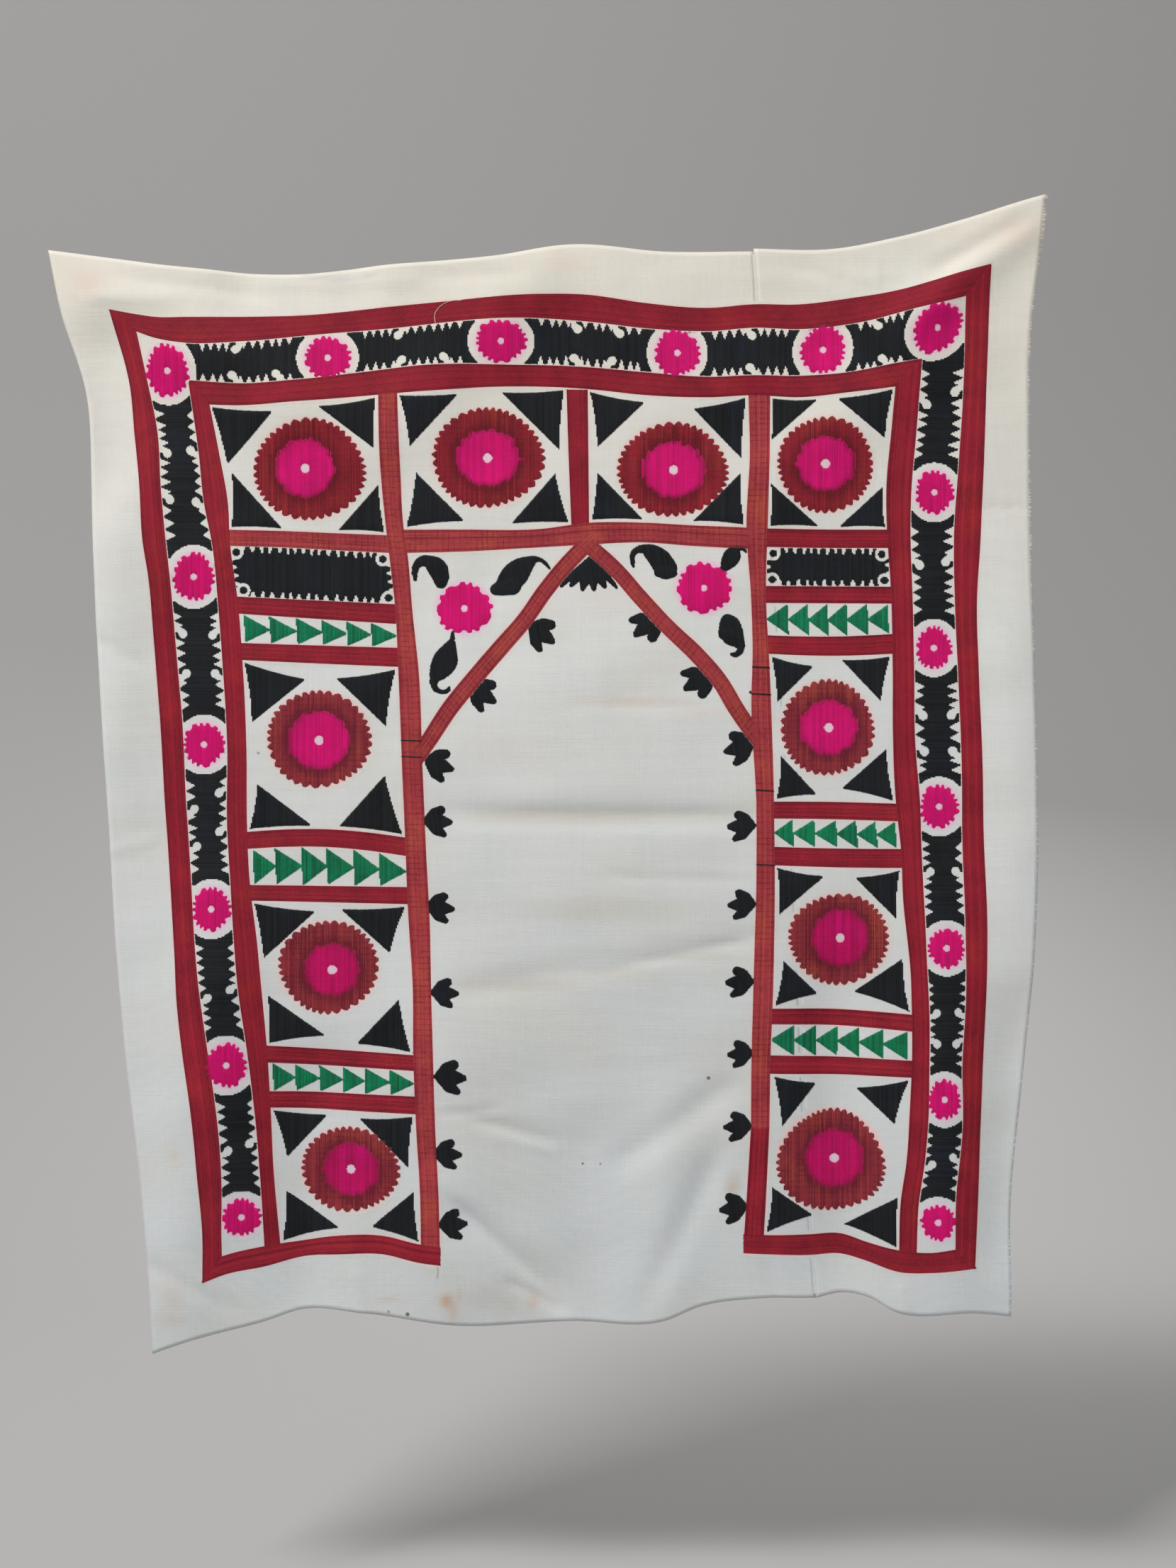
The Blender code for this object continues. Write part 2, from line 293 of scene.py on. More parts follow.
# Bands that run down: at is how far down, low and high are their left and right edges.
BANDS_DOWN = {
    "outer left": (
        Section(455, 157, 187), Section(536, 178, 204), Section(607, 185, 218),
        Section(684, 193, 223), Section(760, 198, 230), Section(811, 206, 236),
        Section(904, 214, 244), Section(1016, 223, 254), Section(1134, 230, 260),
        Section(1236, 237, 267), Section(1363, 246, 277), Section(1412, 249, 283),
        Section(1488, 258, 294), Section(1568, 270, 305), Section(1657, 279, 312),
        Section(1746, 287, 312), Section(1792, 287, 313),
    ),
    "outer right": (
        Section(406, 1365, 1399), Section(500, 1364, 1396), Section(562, 1362, 1394),
        Section(652, 1356, 1391), Section(763, 1349, 1386), Section(845, 1350, 1381),
        Section(942, 1354, 1383), Section(1064, 1359, 1388), Section(1185, 1360, 1390),
        Section(1306, 1363, 1394), Section(1412, 1363, 1392), Section(1501, 1358, 1388),
        Section(1590, 1358, 1384), Section(1693, 1348, 1380), Section(1770, 1347, 1376),
    ),
    "inner left": (
        Section(562, 267, 291), Section(635, 277, 305), Section(709, 285, 318),
        Section(763, 296, 321), Section(853, 305, 333), Section(945, 312, 340),
        Section(1057, 318, 345), Section(1166, 318, 346), Section(1241, 323, 350),
        Section(1338, 330, 362), Section(1403, 336, 368), Section(1480, 347, 375),
        Section(1572, 358, 380), Section(1652, 365, 384), Section(1764, 372, 394),
    ),
    "inner right": (
        Section(536, 1266, 1300), Section(607, 1260, 1295), Section(690, 1253, 1288),
        Section(763, 1255, 1287), Section(821, 1259, 1289), Section(942, 1262, 1292),
        Section(1039, 1262, 1293), Section(1134, 1266, 1300), Section(1199, 1273, 1302),
        Section(1272, 1276, 1305), Section(1379, 1286, 1309), Section(1425, 1287, 1311),
        Section(1505, 1287, 1311), Section(1568, 1284, 1310), Section(1635, 1280, 1305),
        Section(1702, 1271, 1296), Section(1768, 1269, 1293),
    ),
    "light left": (
        Section(548, 532, 559), Section(658, 535, 563), Section(745, 543, 568),
        Section(778, 547, 573), Section(858, 556, 580), Section(952, 561, 590),
        Section(1080, 566, 595), Section(1198, 571, 600), Section(1292, 575, 605),
        Section(1396, 582, 608), Section(1490, 583, 611), Section(1590, 587, 614),
        Section(1690, 593, 619), Section(1760, 594, 621),
    ),
    "light right": (
        Section(552, 1057, 1088), Section(634, 1059, 1087), Section(740, 1054, 1084),
        Section(845, 1061, 1082), Section(918, 1063, 1086), Section(991, 1061, 1089),
        Section(1136, 1068, 1093), Section(1233, 1068, 1094), Section(1412, 1063, 1091),
        Section(1487, 1061, 1088), Section(1594, 1060, 1086),
    ),
    "dark right": (Section(1591, 1060, 1086), Section(1657, 1056, 1083), Section(1745, 1050, 1078)),
    "divider": (Section(546, 799, 829), Section(640, 802, 830), Section(740, 806, 831)),
}

# Where the two edges of a band start and end, for the bands whose ends are cut on a slant.
Ends = namedtuple("Ends", "low_start high_start low_end high_end")
BAND_ENDS = {
    "outer top": Ends(150, 187, 1401, 1366),
    "outer left": Ends(433, 461, 1809, 1776),
    "outer right": Ends(413, 370, 1766, 1791),
    "inner top": Ends(263, 291, 1303, 1268),
    "inner left": Ends(535, 565, 1772, 1765),
    "inner right": Ends(540, 503, 1772, 1772),
    "bottom left": Ends(310, 285, 622, 622),
    "bottom right": Ends(1049, 1049, 1350, 1378),
}

# Short bands across the side columns: their edges at the left and at the right, and how far
# they rise between.
CrossBand = namedtuple("CrossBand", "left_upper left_lower right_upper right_lower rise")
LEFT_COLUMN = ("inner left", "light left")
RIGHT_COLUMN = ("light right", "inner right")
CROSS_BANDS = {
    "left 2": (LEFT_COLUMN, CrossBand(840, 864, 851, 879, 0)),
    "left 3": (LEFT_COLUMN, CrossBand(906, 930, 913, 940, 0)),
    "left 4": (LEFT_COLUMN, CrossBand(1174, 1198, 1182, 1208, 8)),
    "left 5": (LEFT_COLUMN, CrossBand(1249, 1271, 1252, 1276, 0)),
    "left 6": (LEFT_COLUMN, CrossBand(1476, 1500, 1489, 1511, 0)),
    "left 7": (LEFT_COLUMN, CrossBand(1541, 1564, 1547, 1572, 0)),
    "right 2": (RIGHT_COLUMN, CrossBand(825, 849, 826, 850, 0)),
    "right 3": (RIGHT_COLUMN, CrossBand(895, 921, 893, 921, -3)),
    "right 4": (RIGHT_COLUMN, CrossBand(1131, 1155, 1134, 1159, 1)),
    "right 5": (RIGHT_COLUMN, CrossBand(1195, 1221, 1198, 1225, -1)),
    "right 6": (RIGHT_COLUMN, CrossBand(1424, 1446, 1432, 1456, 2)),
    "right 7": (RIGHT_COLUMN, CrossBand(1490, 1516, 1497, 1521, 0)),
}
CROSS_OVERLAP = 2.5
CROSS_MIDDLES = 5

# The arch: sections of its middle line, with the width there.
Bend = namedtuple("Bend", "right down width")
ARCH_LEFT = (
    Bend(842, 752, 23), Bend(820, 773, 23), Bend(797, 797, 23), Bend(768, 833, 23), Bend(741, 872, 23),
    Bend(704, 915, 24), Bend(668, 957, 24), Bend(634, 999, 24), Bend(603, 1046, 23),
    Bend(585, 1072, 22),
)
ARCH_RIGHT = (
    Bend(816, 756, 22), Bend(838, 774, 22), Bend(868, 801, 22), Bend(904, 842, 22), Bend(943, 884, 22),
    Bend(985, 924, 23), Bend(1016, 960, 23), Bend(1040, 1000, 23), Bend(1062, 1032, 22),
    Bend(1078, 1052, 22),
)


def smooth_value(at, places, values):
    """A smooth curve through values given at places, held straight past both ends."""
    slopes = np.gradient(values, places)
    index = np.clip(np.searchsorted(places, at, side="right") - 1, 0, len(places) - 2)
    width = places[index + 1] - places[index]
    part = (at - places[index]) / width
    inside = np.clip(part, 0.0, 1.0)
    start, end = values[index], values[index + 1]
    leave, arrive = slopes[index] * width, slopes[index + 1] * width
    blend = inside * inside * (3.0 - 2.0 * inside)
    bend = inside * (1.0 - inside)
    curve = start * (1 - blend) + end * blend + bend * ((1 - inside) * leave - inside * arrive)
    before, after = np.minimum(part, 0.0), np.maximum(part - 1.0, 0.0)
    return curve + before * leave + after * arrive


class Band:
    """A stitched band between a low and a high edge, running across or down the cloth."""

    def __init__(self, sections, down, ends=None):
        rows = np.array(sections, dtype=float)
        self.places, self.lows, self.highs, self.down = rows[:, 0], rows[:, 1], rows[:, 2], down
        start, end = rows[0, 0], rows[-1, 0]
        self.ends = ends or Ends(start, start, end, end)

    def low(self, at):
        return smooth_value(np.asarray(at, dtype=float), self.places, self.lows)

    def high(self, at):
        return smooth_value(np.asarray(at, dtype=float), self.places, self.highs)


BANDS = {
    name: Band(sections, down, BAND_ENDS.get(name))
    for table, down in ((BANDS_ACROSS, False), (BANDS_DOWN, True))
    for name, sections in table.items()
}


def add_cross_bands():
    for name, ((left, right), cross) in CROSS_BANDS.items():
        middle = (cross.left_upper + cross.right_upper) / 2
        start = float(BANDS[left].high(middle)) - CROSS_OVERLAP
        end = float(BANDS[right].low(middle)) + CROSS_OVERLAP
        rows = []
        for share in np.linspace(0.0, 1.0, CROSS_MIDDLES):
            bow = cross.rise * math.sin(math.pi * share)
            upper = cross.left_upper * (1 - share) + cross.right_upper * share - bow
            lower = cross.left_lower * (1 - share) + cross.right_lower * share - bow
            rows.append(Section(start * (1 - share) + end * share, upper, lower))
        BANDS[name] = Band(rows, False)


add_cross_bands()

# Fields that motifs fill, each by the bands on its four sides.
Field = namedtuple("Field", "left right above below")
SQUARES = {
    "top 1": Field("inner left", "light left", "inner top", "squares left"),
    "top 2": Field("light left", "divider", "inner top", "squares middle"),
    "top 3": Field("divider", "light right", "inner top", "squares middle"),
    "top 4": Field("light right", "inner right", "inner top", "squares right"),
    "left 2": Field("inner left", "light left", "left 3", "left 4"),
    "left 3": Field("inner left", "light left", "left 5", "left 6"),
    "left 4": Field("inner left", "light left", "left 7", "bottom left"),
    "right 2": Field("light right", "inner right", "right 3", "right 4"),
    "right 3": Field("light right", "inner right", "right 5", "right 6"),
    "right 4": Field("dark right", "inner right", "right 7", "bottom right"),
}
ARROW_STRIPS = {
    "left 1": Field("inner left", "light left", "left 2", "left 3"),
    "left 2": Field("inner left", "light left", "left 4", "left 5"),
    "left 3": Field("inner left", "light left", "left 6", "left 7"),
    "right 1": Field("light right", "inner right", "right 2", "right 3"),
    "right 2": Field("light right", "inner right", "right 4", "right 5"),
    "right 3": Field("light right", "inner right", "right 6", "right 7"),
}
COMB_PANELS = {
    "left": Field("inner left", "light left", "squares left", "left 2"),
    "right": Field("light right", "inner right", "squares right", "right 2"),
}

# Large rosettes: the rim, the heart inside it with its bare dot, how much wider the rim is
# below than above, and how far it is drawn out to one side.
Rosette = namedtuple(
    "Rosette", "right down rim_x rim_d heart_x heart_d heart_right heart_down teeth egg point thread heart"
)
ROSETTES = {
    "top 1": Rosette(433, 660, 79, 73, 42, 42, -5, -2, 40, 0.02, 0.05, "ring", "pink"),
    "top 2": Rosette(686, 643, 79, 72, 46, 40, 1, 0, 40, 0.00, 0.05, "ring", "pink"),
    "top 3": Rosette(948, 660, 78, 68, 45, 40, 3, 0, 40, 0.02, 0.06, "ring", "pink"),
    "top 4": Rosette(1166, 653, 69, 69, 42, 39, 0, -1, 38, 0.02, 0.00, "ring", "pink"),
    "left 2": Rosette(448, 1042, 75, 70, 44, 42, 0, 2, 36, 0.02, 0.00, "brown", "pink"),
    "left 3": Rosette(462, 1365, 71, 67, 40, 38, 5, 4, 36, -0.02, 0.02, "brown", "rose"),
    "left 4": Rosette(492, 1651, 71, 61, 41, 38, 2, 0, 36, 0.02, 0.03, "brown", "rose"),
    "right 2": Rosette(1169, 1026, 67, 69, 41, 40, 2, 0, 37, 0.02, 0.00, "brown", "pink"),
    "right 3": Rosette(1185, 1326, 72, 66, 41, 41, 2, -2, 38, -0.02, 0.00, "brown", "rose"),
    "right 4": Rosette(1173, 1638, 77, 73, 42, 42, 6, -1, 44, 0.16, 0.02, "brown", "rose"),
}
RING_UNDER = 5.0
RING_PITCH = 1.5
HEART_WANDER = 1.1
HEART_LIFT = 0.00014
TOOTH = 5.6
HEART_DOT = 6.5

# Small flowers: those in the black border stand in bare ovals.
Flower = namedtuple("Flower", "right down half_x half_d lobes tilt", defaults=(0,))
TOP_FLOWERS = (
    Flower(233, 520, 31, 38, 19, -6), Flower(460, 501, 34, 31, 18, 0), Flower(706, 478, 37, 31, 19, 0),
    Flower(956, 495, 33, 34, 18, 0), Flower(1163, 490, 32, 36, 19, 24), Flower(1324, 460, 31, 41, 19, 44),
)
LEFT_FLOWERS = (
    Flower(270, 812, 30, 35, 18, 0), Flower(285, 1050, 30, 32, 18, 0), Flower(297, 1283, 28, 32, 18, 0),
    Flower(319, 1503, 29, 32, 17, -8), Flower(340, 1718, 28, 27, 16, 0),
)
RIGHT_FLOWERS = (
    Flower(1321, 692, 28, 32, 18, 0), Flower(1320, 913, 26, 31, 19, 0), Flower(1327, 1138, 28, 32, 18, 0),
    Flower(1336, 1338, 27, 29, 17, 0), Flower(1332, 1551, 24, 29, 16, 0), Flower(1323, 1724, 25, 26, 15, 0),
)
SPANDREL_FLOWERS = (Flower(654, 857, 40, 37, 14, 0), Flower(994, 828, 40, 37, 15, 0))
LOBE_DEPTH = 3.8
FLOWER_DOT = 4.6
OVAL_MARGIN = 10.5

# Paisleys and leaves: the sections of a bent spine, with the radius at each.
Bead = namedtuple("Bead", "right down radius")
PAISLEYS = {
    "hook left of the flower": (
        Bead(621, 820, 9.0), Bead(620, 809, 13.0), Bead(615, 799, 14.0), Bead(605, 791, 9.5),
        Bead(595, 789.5, 8.0), Bead(587, 795, 6.0), Bead(583.5, 805, 4.5), Bead(584.5, 816, 2.5),
    ),
    "paisley right of the flower": (
        Bead(699, 830, 8.5), Bead(710, 826, 13.0), Bead(719, 817, 17.5), Bead(727, 808, 18.5),
        Bead(737, 798, 14.0), Bead(745, 792, 9.5), Bead(753, 787.5, 5.5), Bead(762, 788, 3.4),
        Bead(769, 793, 2.8), Bead(775.5, 800.5, 1.6),
    ),
    "its flat foot": (Bead(700, 830, 8.5), Bead(722, 826, 12.5)),
    "paisley under the flower": (
        Bead(638, 891, 2.6), Bead(636.5, 903, 4.5), Bead(634, 912, 9.0), Bead(631, 921, 13.5),
        Bead(627, 932, 18.0), Bead(620, 944, 14.5), Bead(612.5, 956, 7.5), Bead(611.5, 965, 5.2),
        Bead(614.5, 972, 4.4), Bead(620, 975, 3.6), Bead(626, 975.5, 3.4), Bead(631, 973.5, 3.4),
        Bead(632.5, 969, 1.8),
    ),
    "hook right of the apex": (
        Bead(940, 800, 16.0), Bead(931, 787, 15.5), Bead(922, 779, 12.5), Bead(911, 773, 7.5),
        Bead(902, 773, 5.6), Bead(895, 777.5, 4.6), Bead(892, 785, 3.8), Bead(892.5, 792, 3.2),
        Bead(894, 797.5, 1.8),
    ),
    "the hook's foot": (Bead(931, 804.5, 8.5), Bead(948, 805.5, 8.5)),
    "leaf above the right flower": (
        Bead(1023, 800, 5.5), Bead(1028, 792, 10.0), Bead(1033, 784, 12.5), Bead(1036, 777, 8.5),
        Bead(1044, 772, 4.0), Bead(1050, 773, 3.0), Bead(1053.5, 777, 2.0),
    ),
    "paisley under the right flower": (
        Bead(1027, 873, 8.5), Bead(1030.5, 882, 15.5), Bead(1033, 892, 16.5), Bead(1042, 904, 9.0),
        Bead(1046, 912, 6.0), Bead(1044, 919, 4.8), Bead(1039, 922.5, 4.2), Bead(1033, 922, 2.6),
    ),
    "its corner": (Bead(1022, 893, 8.3), Bead(1030, 894, 8.3)),
}
BEAD_STEP = 1.5

# Bud sprigs: the point inside the band that each grows from, its heading in degrees, its size,
# and -1 where it is turned over.
Sprig = namedtuple("Sprig", "right down turn size hand", defaults=(1,))
SPRIGS = (
    Sprig(745, 880, 33, 1.12), Sprig(662, 966, 32, 1.10), Sprig(598, 1071, 18, 1.08),
    Sprig(596, 1158, 1, 1.02), Sprig(600, 1279, 4, 1.00), Sprig(608, 1400, 1, 0.96),
    Sprig(613, 1518, 1, 1.12), Sprig(612, 1627, 0, 0.98), Sprig(619, 1727, -3, 0.98),
    Sprig(930, 868, 139, 1.12), Sprig(1005, 948, 146, 1.15), Sprig(1066, 1048, 166, 1.12, -1),
    Sprig(1067, 1165, 180, 1.00, -1), Sprig(1067, 1276, 180, 0.98, -1), Sprig(1064, 1386, 181, 1.00, -1),
    Sprig(1063, 1487, 179, 0.90, -1), Sprig(1061, 1590, 180, 0.98, -1), Sprig(1055, 1703, 174, 1.00, -1),
)
# Lobes of a sprig or fan: how far each reaches along and aside, its belly and its tip radius.
Lobe = namedtuple("Lobe", "along aside belly tip")
SPRIG_LOBES = (Lobe(24, -15, 8.6, 6.6), Lobe(37, 1.5, 9.6, 4.2), Lobe(29, 18.5, 8.0, 4.4))
FAN_LOBES = (
    Lobe(43, -38, 5.0, 2.6), Lobe(42, -21, 8.2, 3.2), Lobe(46, -6, 8.6, 3.0),
    Lobe(46, 10, 8.6, 3.0), Lobe(40, 26, 8.2, 3.2), Lobe(41, 40, 5.0, 2.6),
)
FAN = Sprig(832, 784, 90, 1.0)
BELLY_AT = 0.66

# Rows of stitching: spacings and lengths in millimetres, the base and the crest in metres.
ROW_PITCH = 1.75
FINE_PITCH = 1.35
BAND_PITCH = 2.0
SAMPLE_STEP = 0.5
ROW_SEGMENT = 7.0
BAND_SEGMENT = 6.0
ROW_TIP = 1.0
ROW_LEAST = 2.6
ROW_BASE = CLOTH_THICKNESS / 2 + 0.00022
ROW_CREST = 0.00062
TIP_WIDTH = 0.45
TIP_SHARE = 0.3
ROW_WANDER = 0.18
END_PULL = 0.3
# Shades of rows: the usual one, its spread, and how dark the couched lines of a band are.
ROW_SHADE, ROW_SHADE_SPREAD = 0.5, 0.20
BAND_SHADE, BAND_SHADE_SPREAD = 0.42, 0.12
COUCHED_LINES, COUCHED_WIDTH, COUCHED_DARK = 4, 0.16, 0.22
EDGE_POWER = 8
# Clear space round a motif where its rows are looked for.
BOX_MARGIN = 4.0
ROUND_MARGIN = 6.0
CORNER_PASSES = 6
LOBE_ROOT = 2.0
# A depth beyond any real one.
FAR = 1e3


def signed_ellipse(x, d, right, down, half_x, half_d):
    """How far inside an ellipse a point is, in millimetres, and negative outside."""
    reach = np.hypot((x - right) / half_x, (d - down) / half_d)
    return (1.0 - reach) * min(half_x, half_d)


def turned(x, d, flower):
    """A point in the flower's own directions."""
    cosine, sine = math.cos(math.radians(flower.tilt)), math.sin(math.radians(flower.tilt))
    across, along = x - flower.right, d - flower.down
    return across * cosine + along * sine, along * cosine - across * sine


def wavy_disc(x, d, flower):
    """How far inside a lobed flower a point is."""
    across, along = turned(x, d, flower)
    across, along = across / flower.half_x, along / flower.half_d
    angle, reach = np.arctan2(along, across), np.hypot(across, along)
    size = min(flower.half_x, flower.half_d)
    wobble = 0.03 * np.sin(3 * angle + flower.right) + 0.02 * np.sin(5 * angle + flower.down)
    uneven = 0.25 * np.sin(2 * angle + flower.down) + 0.2 * np.sin(5 * angle + flower.right)
    phase = (angle / (2 * math.pi) * flower.lobes + uneven) % 1.0
    notch = np.clip(1.6 - np.abs(phase - 0.5) * 5.0, 0.0, 1.0)
    return (1.0 + wobble - reach) * size - LOBE_DEPTH * notch


def toothed_disc(x, d, rosette):
    """How far inside the saw-toothed rim of a rosette a point is."""
    along = (d - rosette.down) / rosette.rim_d
    across = (x - rosette.right) / (rosette.rim_x * (1.0 + rosette.egg * along))
    angle, reach = np.arctan2(along, across), np.hypot(across, along)
    uneven = 0.35 * np.sin(2 * angle + rosette.down) + 0.2 * np.sin(5 * angle + rosette.right)
    phase = (angle / (2 * math.pi) * rosette.teeth + uneven) % 1.0
    tooth = 1.0 - np.abs(2.0 * phase - 1.0) ** 1.7
    wobble = 0.012 * np.sin(3 * angle + rosette.right) + 0.010 * np.sin(4 * angle)
    wobble += rosette.point * np.maximum(np.cos(angle), 0.0) ** 6
    rim = min(rosette.rim_x, rosette.rim_d)
    return (1.0 + wobble - reach) * rim - TOOTH * (1.0 - tooth)


def chain(x, d, beads):
    """How far inside the union of these round beads a point is."""
    inside = np.full(np.shape(x), -FAR)
    for right, down, radius in beads:
        inside = np.maximum(inside, radius - np.hypot(x - right, d - down))
    return inside


def run_places(points):
    """How far along a line each of its points is."""
    return np.concatenate([[0.0], np.cumsum(np.hypot(*np.diff(points, axis=0).T))])


def spine_beads(rows):
    """Beads close together on a smooth line through a spine's sections."""
    table = np.array(rows, dtype=float)
    places = run_places(table[:, :2])
    at = np.linspace(0.0, places[-1], max(int(places[-1] / BEAD_STEP), 2))
    return list(zip(*(smooth_value(at, places, table[:, column]) for column in range(3))))


def club_beads(start, end, belly, tip):
    """Beads of one lobe, widest at its belly and narrower at its tip."""
    length = math.hypot(end[0] - start[0], end[1] - start[1])
    beads = []
    for share in np.linspace(0.0, 1.0, max(int(length / BEAD_STEP), 3)):
        radius = np.interp(share, (0.0, BELLY_AT, 1.0), (LOBE_ROOT, belly, tip))
        beads.append((start[0] + (end[0] - start[0]) * share, start[1] + (end[1] - start[1]) * share, radius))
    return beads


def sprig_beads(sprig, lobes):
    """Beads of all the lobes that grow from one point."""
    turn = math.radians(sprig.turn)
    beads = []
    for lobe in lobes:
        along, aside = lobe.along * sprig.size, lobe.aside * sprig.size * sprig.hand
        tip = (
            sprig.right + along * math.cos(turn) - aside * math.sin(turn),
            sprig.down + along * math.sin(turn) + aside * math.cos(turn),
        )
        beads += club_beads((sprig.right, sprig.down), tip, lobe.belly * sprig.size, lobe.tip * sprig.size)
    return beads


def arch_beads(bends):
    rows = [Bead(bend.right, bend.down, bend.width / 2) for bend in bends]
    return spine_beads(rows)


def field_frame(field):
    """Functions of a point that give how far it is from each side of a field."""
    left, right, above, below = (BANDS[name] for name in field)

    def sides(x, d):
        return x - left.high(d), right.low(d) - x, d - above.high(x), below.low(x) - d

    return sides


def field_corners(field):
    """The corners of a field, from its top left one round by the top right one."""
    left, right, above, below = (BANDS[name] for name in field)
    corners = []
    for side, edge in ((left, above), (right, above), (right, below), (left, below)):
        down = float(np.mean(edge.highs if edge is above else edge.lows))
        for _ in range(CORNER_PASSES):
            across = float(side.high(down) if side is left else side.low(down))
            down = float(edge.high(across) if edge is above else edge.low(across))
        corners.append((across, down))
    return corners


def points_box(points):
    """The box round these points, with clear space: left, right, top and bottom."""
    (left, top), (right, bottom) = np.min(points, axis=0), np.max(points, axis=0)
    return left - BOX_MARGIN, right + BOX_MARGIN, top - BOX_MARGIN, bottom + BOX_MARGIN


def stitched_rows(shape, box, turn=90.0, pitch=ROW_PITCH, wander=ROW_WANDER):
    """Rows of thread that fill a shape: the start and end of each run in drawing millimetres."""
    left, right, top, bottom = box
    middle_x, middle_d = (left + right) / 2, (top + bottom) / 2
    cosine, sine = math.cos(math.radians(turn)), math.sin(math.radians(turn))
    half_w, half_h = (right - left) / 2, (bottom - top) / 2
    reach_along = abs(half_w * cosine) + abs(half_h * sine) + 1.0
    reach_aside = abs(half_w * sine) + abs(half_h * cosine) + 1.0
    along = np.arange(-reach_along, reach_along, SAMPLE_STEP)
    aside = np.arange(-reach_aside, reach_aside, pitch)
    x = middle_x + along[None] * cosine - aside[:, None] * sine
    d = middle_d + along[None] * sine + aside[:, None] * cosine
    value = shape(x, d)
    value += wander * RNG.standard_normal((len(aside), 1))
    value[:, 0] = -1.0
    value[:, -1] = -1.0
    before, after = value[:, :-1], value[:, 1:]
    row_in, at_in = np.nonzero((before <= 0) & (after > 0))
    row_out, at_out = np.nonzero((before > 0) & (after <= 0))
    place_in = along[at_in] - before[row_in, at_in] * SAMPLE_STEP / (
        after[row_in, at_in] - before[row_in, at_in]
    )
    place_out = along[at_out] + before[row_out, at_out] * SAMPLE_STEP / (
        before[row_out, at_out] - after[row_out, at_out]
    )
    keep = place_out - place_in > ROW_LEAST
    place_in, place_out, row = place_in[keep], place_out[keep], row_in[keep]
    offset = aside[row]

    def drawn(place):
        right = middle_x + place * cosine - offset * sine
        down = middle_d + place * sine + offset * cosine
        return np.stack([right, down], -1)

    return straight_runs(drawn(place_in), drawn(place_out), pitch / 2)


# Runs: middle points and headings in drawing millimetres, half widths, how full the row is
# (nothing at a tip), the number of the run, how far along it a point is, and its shade.
Runs = namedtuple("Runs", "points headings half full run along shade")


def straight_runs(starts, ends, half):
    """Straight rows from each start to its end, narrower at both tips."""
    length = np.hypot(*(ends - starts).T)
    if not len(length):
        return None
    heading = (ends - starts) / length[:, None]
    tip = np.minimum(ROW_TIP, length * TIP_SHARE)
    inner = np.maximum(np.ceil((length - 2 * tip) / ROW_SEGMENT).astype(int), 1)
    count = inner + 3
    run = np.repeat(np.arange(len(length)), count)
    step = np.arange(count.sum()) - np.repeat(np.cumsum(count) - count, count)
    last = step == inner[run] + 2
    middle = tip[run] + (length - 2 * tip)[run] * (step - 1) / inner[run]
    place = np.where(step == 0, 0.0, np.where(last, length[run], middle))
    full = ((step > 0) & ~last).astype(float)
    shade = (ROW_SHADE + ROW_SHADE_SPREAD * RNG.standard_normal(len(length)))[run]
    points = starts[run] + heading[run] * place[:, None]
    along = place + (starts * heading).sum(axis=1)[run]
    widths = np.where(full > 0, half, half * TIP_WIDTH)
    return Runs(points, heading[run], widths, full, run, along, shade)


def curved_runs(low_line, high_line, rows, dark_edge=0.0):
    """Rows laid side by side along a band, between two edge lines with as many points."""
    stations = len(low_line)
    share = (np.arange(rows) + 0.5) / rows
    lines = low_line[None] * (1 - share[:, None, None]) + high_line[None] * share[:, None, None]
    heading = np.gradient(lines, axis=1)
    heading /= np.linalg.norm(heading, axis=2, keepdims=True)
    width = np.linalg.norm(high_line - low_line, axis=1) / rows / 2
    full = np.ones((rows, stations))
    full[:, [0, -1]] = 0.0
    pull = RNG.uniform(-END_PULL, END_PULL, (rows, 2))
    lines[:, 0] += heading[:, 0] * pull[:, :1]
    lines[:, -1] -= heading[:, -1] * pull[:, 1:]
    step = np.linalg.norm(np.diff(lines, axis=1), axis=2)
    along = np.concatenate([np.zeros((rows, 1)), np.cumsum(step, axis=1)], axis=1)
    edge = np.abs(2 * share - 1) ** EDGE_POWER
    couched = np.exp(-(((share * COUCHED_LINES) % 1.0 - 0.5) / COUCHED_WIDTH) ** 2)
    shade = BAND_SHADE + BAND_SHADE_SPREAD * RNG.standard_normal(rows)
    shade = shade + dark_edge * edge + COUCHED_DARK * couched
    run = np.repeat(np.arange(rows), stations)
    return Runs(
        lines.reshape(-1, 2), heading.reshape(-1, 2), np.tile(width, rows), full.ravel(), run,
        along.ravel(), shade[run],
    )


def band_lines(band):
    """The two edge lines of a straight band, from end to end."""
    ends = band.ends
    count = max(int((ends.low_end - ends.low_start) / BAND_SEGMENT), 4)
    low_at = np.linspace(ends.low_start, ends.low_end, count)
    high_at = np.linspace(ends.high_start, ends.high_end, count)
    low, high = band.low(low_at), band.high(high_at)
    if band.down:
        return np.stack([low, low_at], -1), np.stack([high, high_at], -1)
    return np.stack([low_at, low], -1), np.stack([high_at, high], -1)


def ribbon_lines(bends, count=None):
    """The two edge lines of a curved ribbon, from the sections of its middle line."""
    rows = np.array(bends, dtype=float)
    places = run_places(rows[:, :2])
    at = np.linspace(0.0, places[-1], count or int(places[-1] / BAND_SEGMENT))
    right, down, width = (smooth_value(at, places, rows[:, column]) for column in range(3))
    middle = np.stack([right, down], -1)
    heading = np.gradient(middle, axis=0)
    heading /= np.linalg.norm(heading, axis=1, keepdims=True)
    aside = np.stack([-heading[:, 1], heading[:, 0]], -1)
    return middle - aside * width[:, None] / 2, middle + aside * width[:, None] / 2


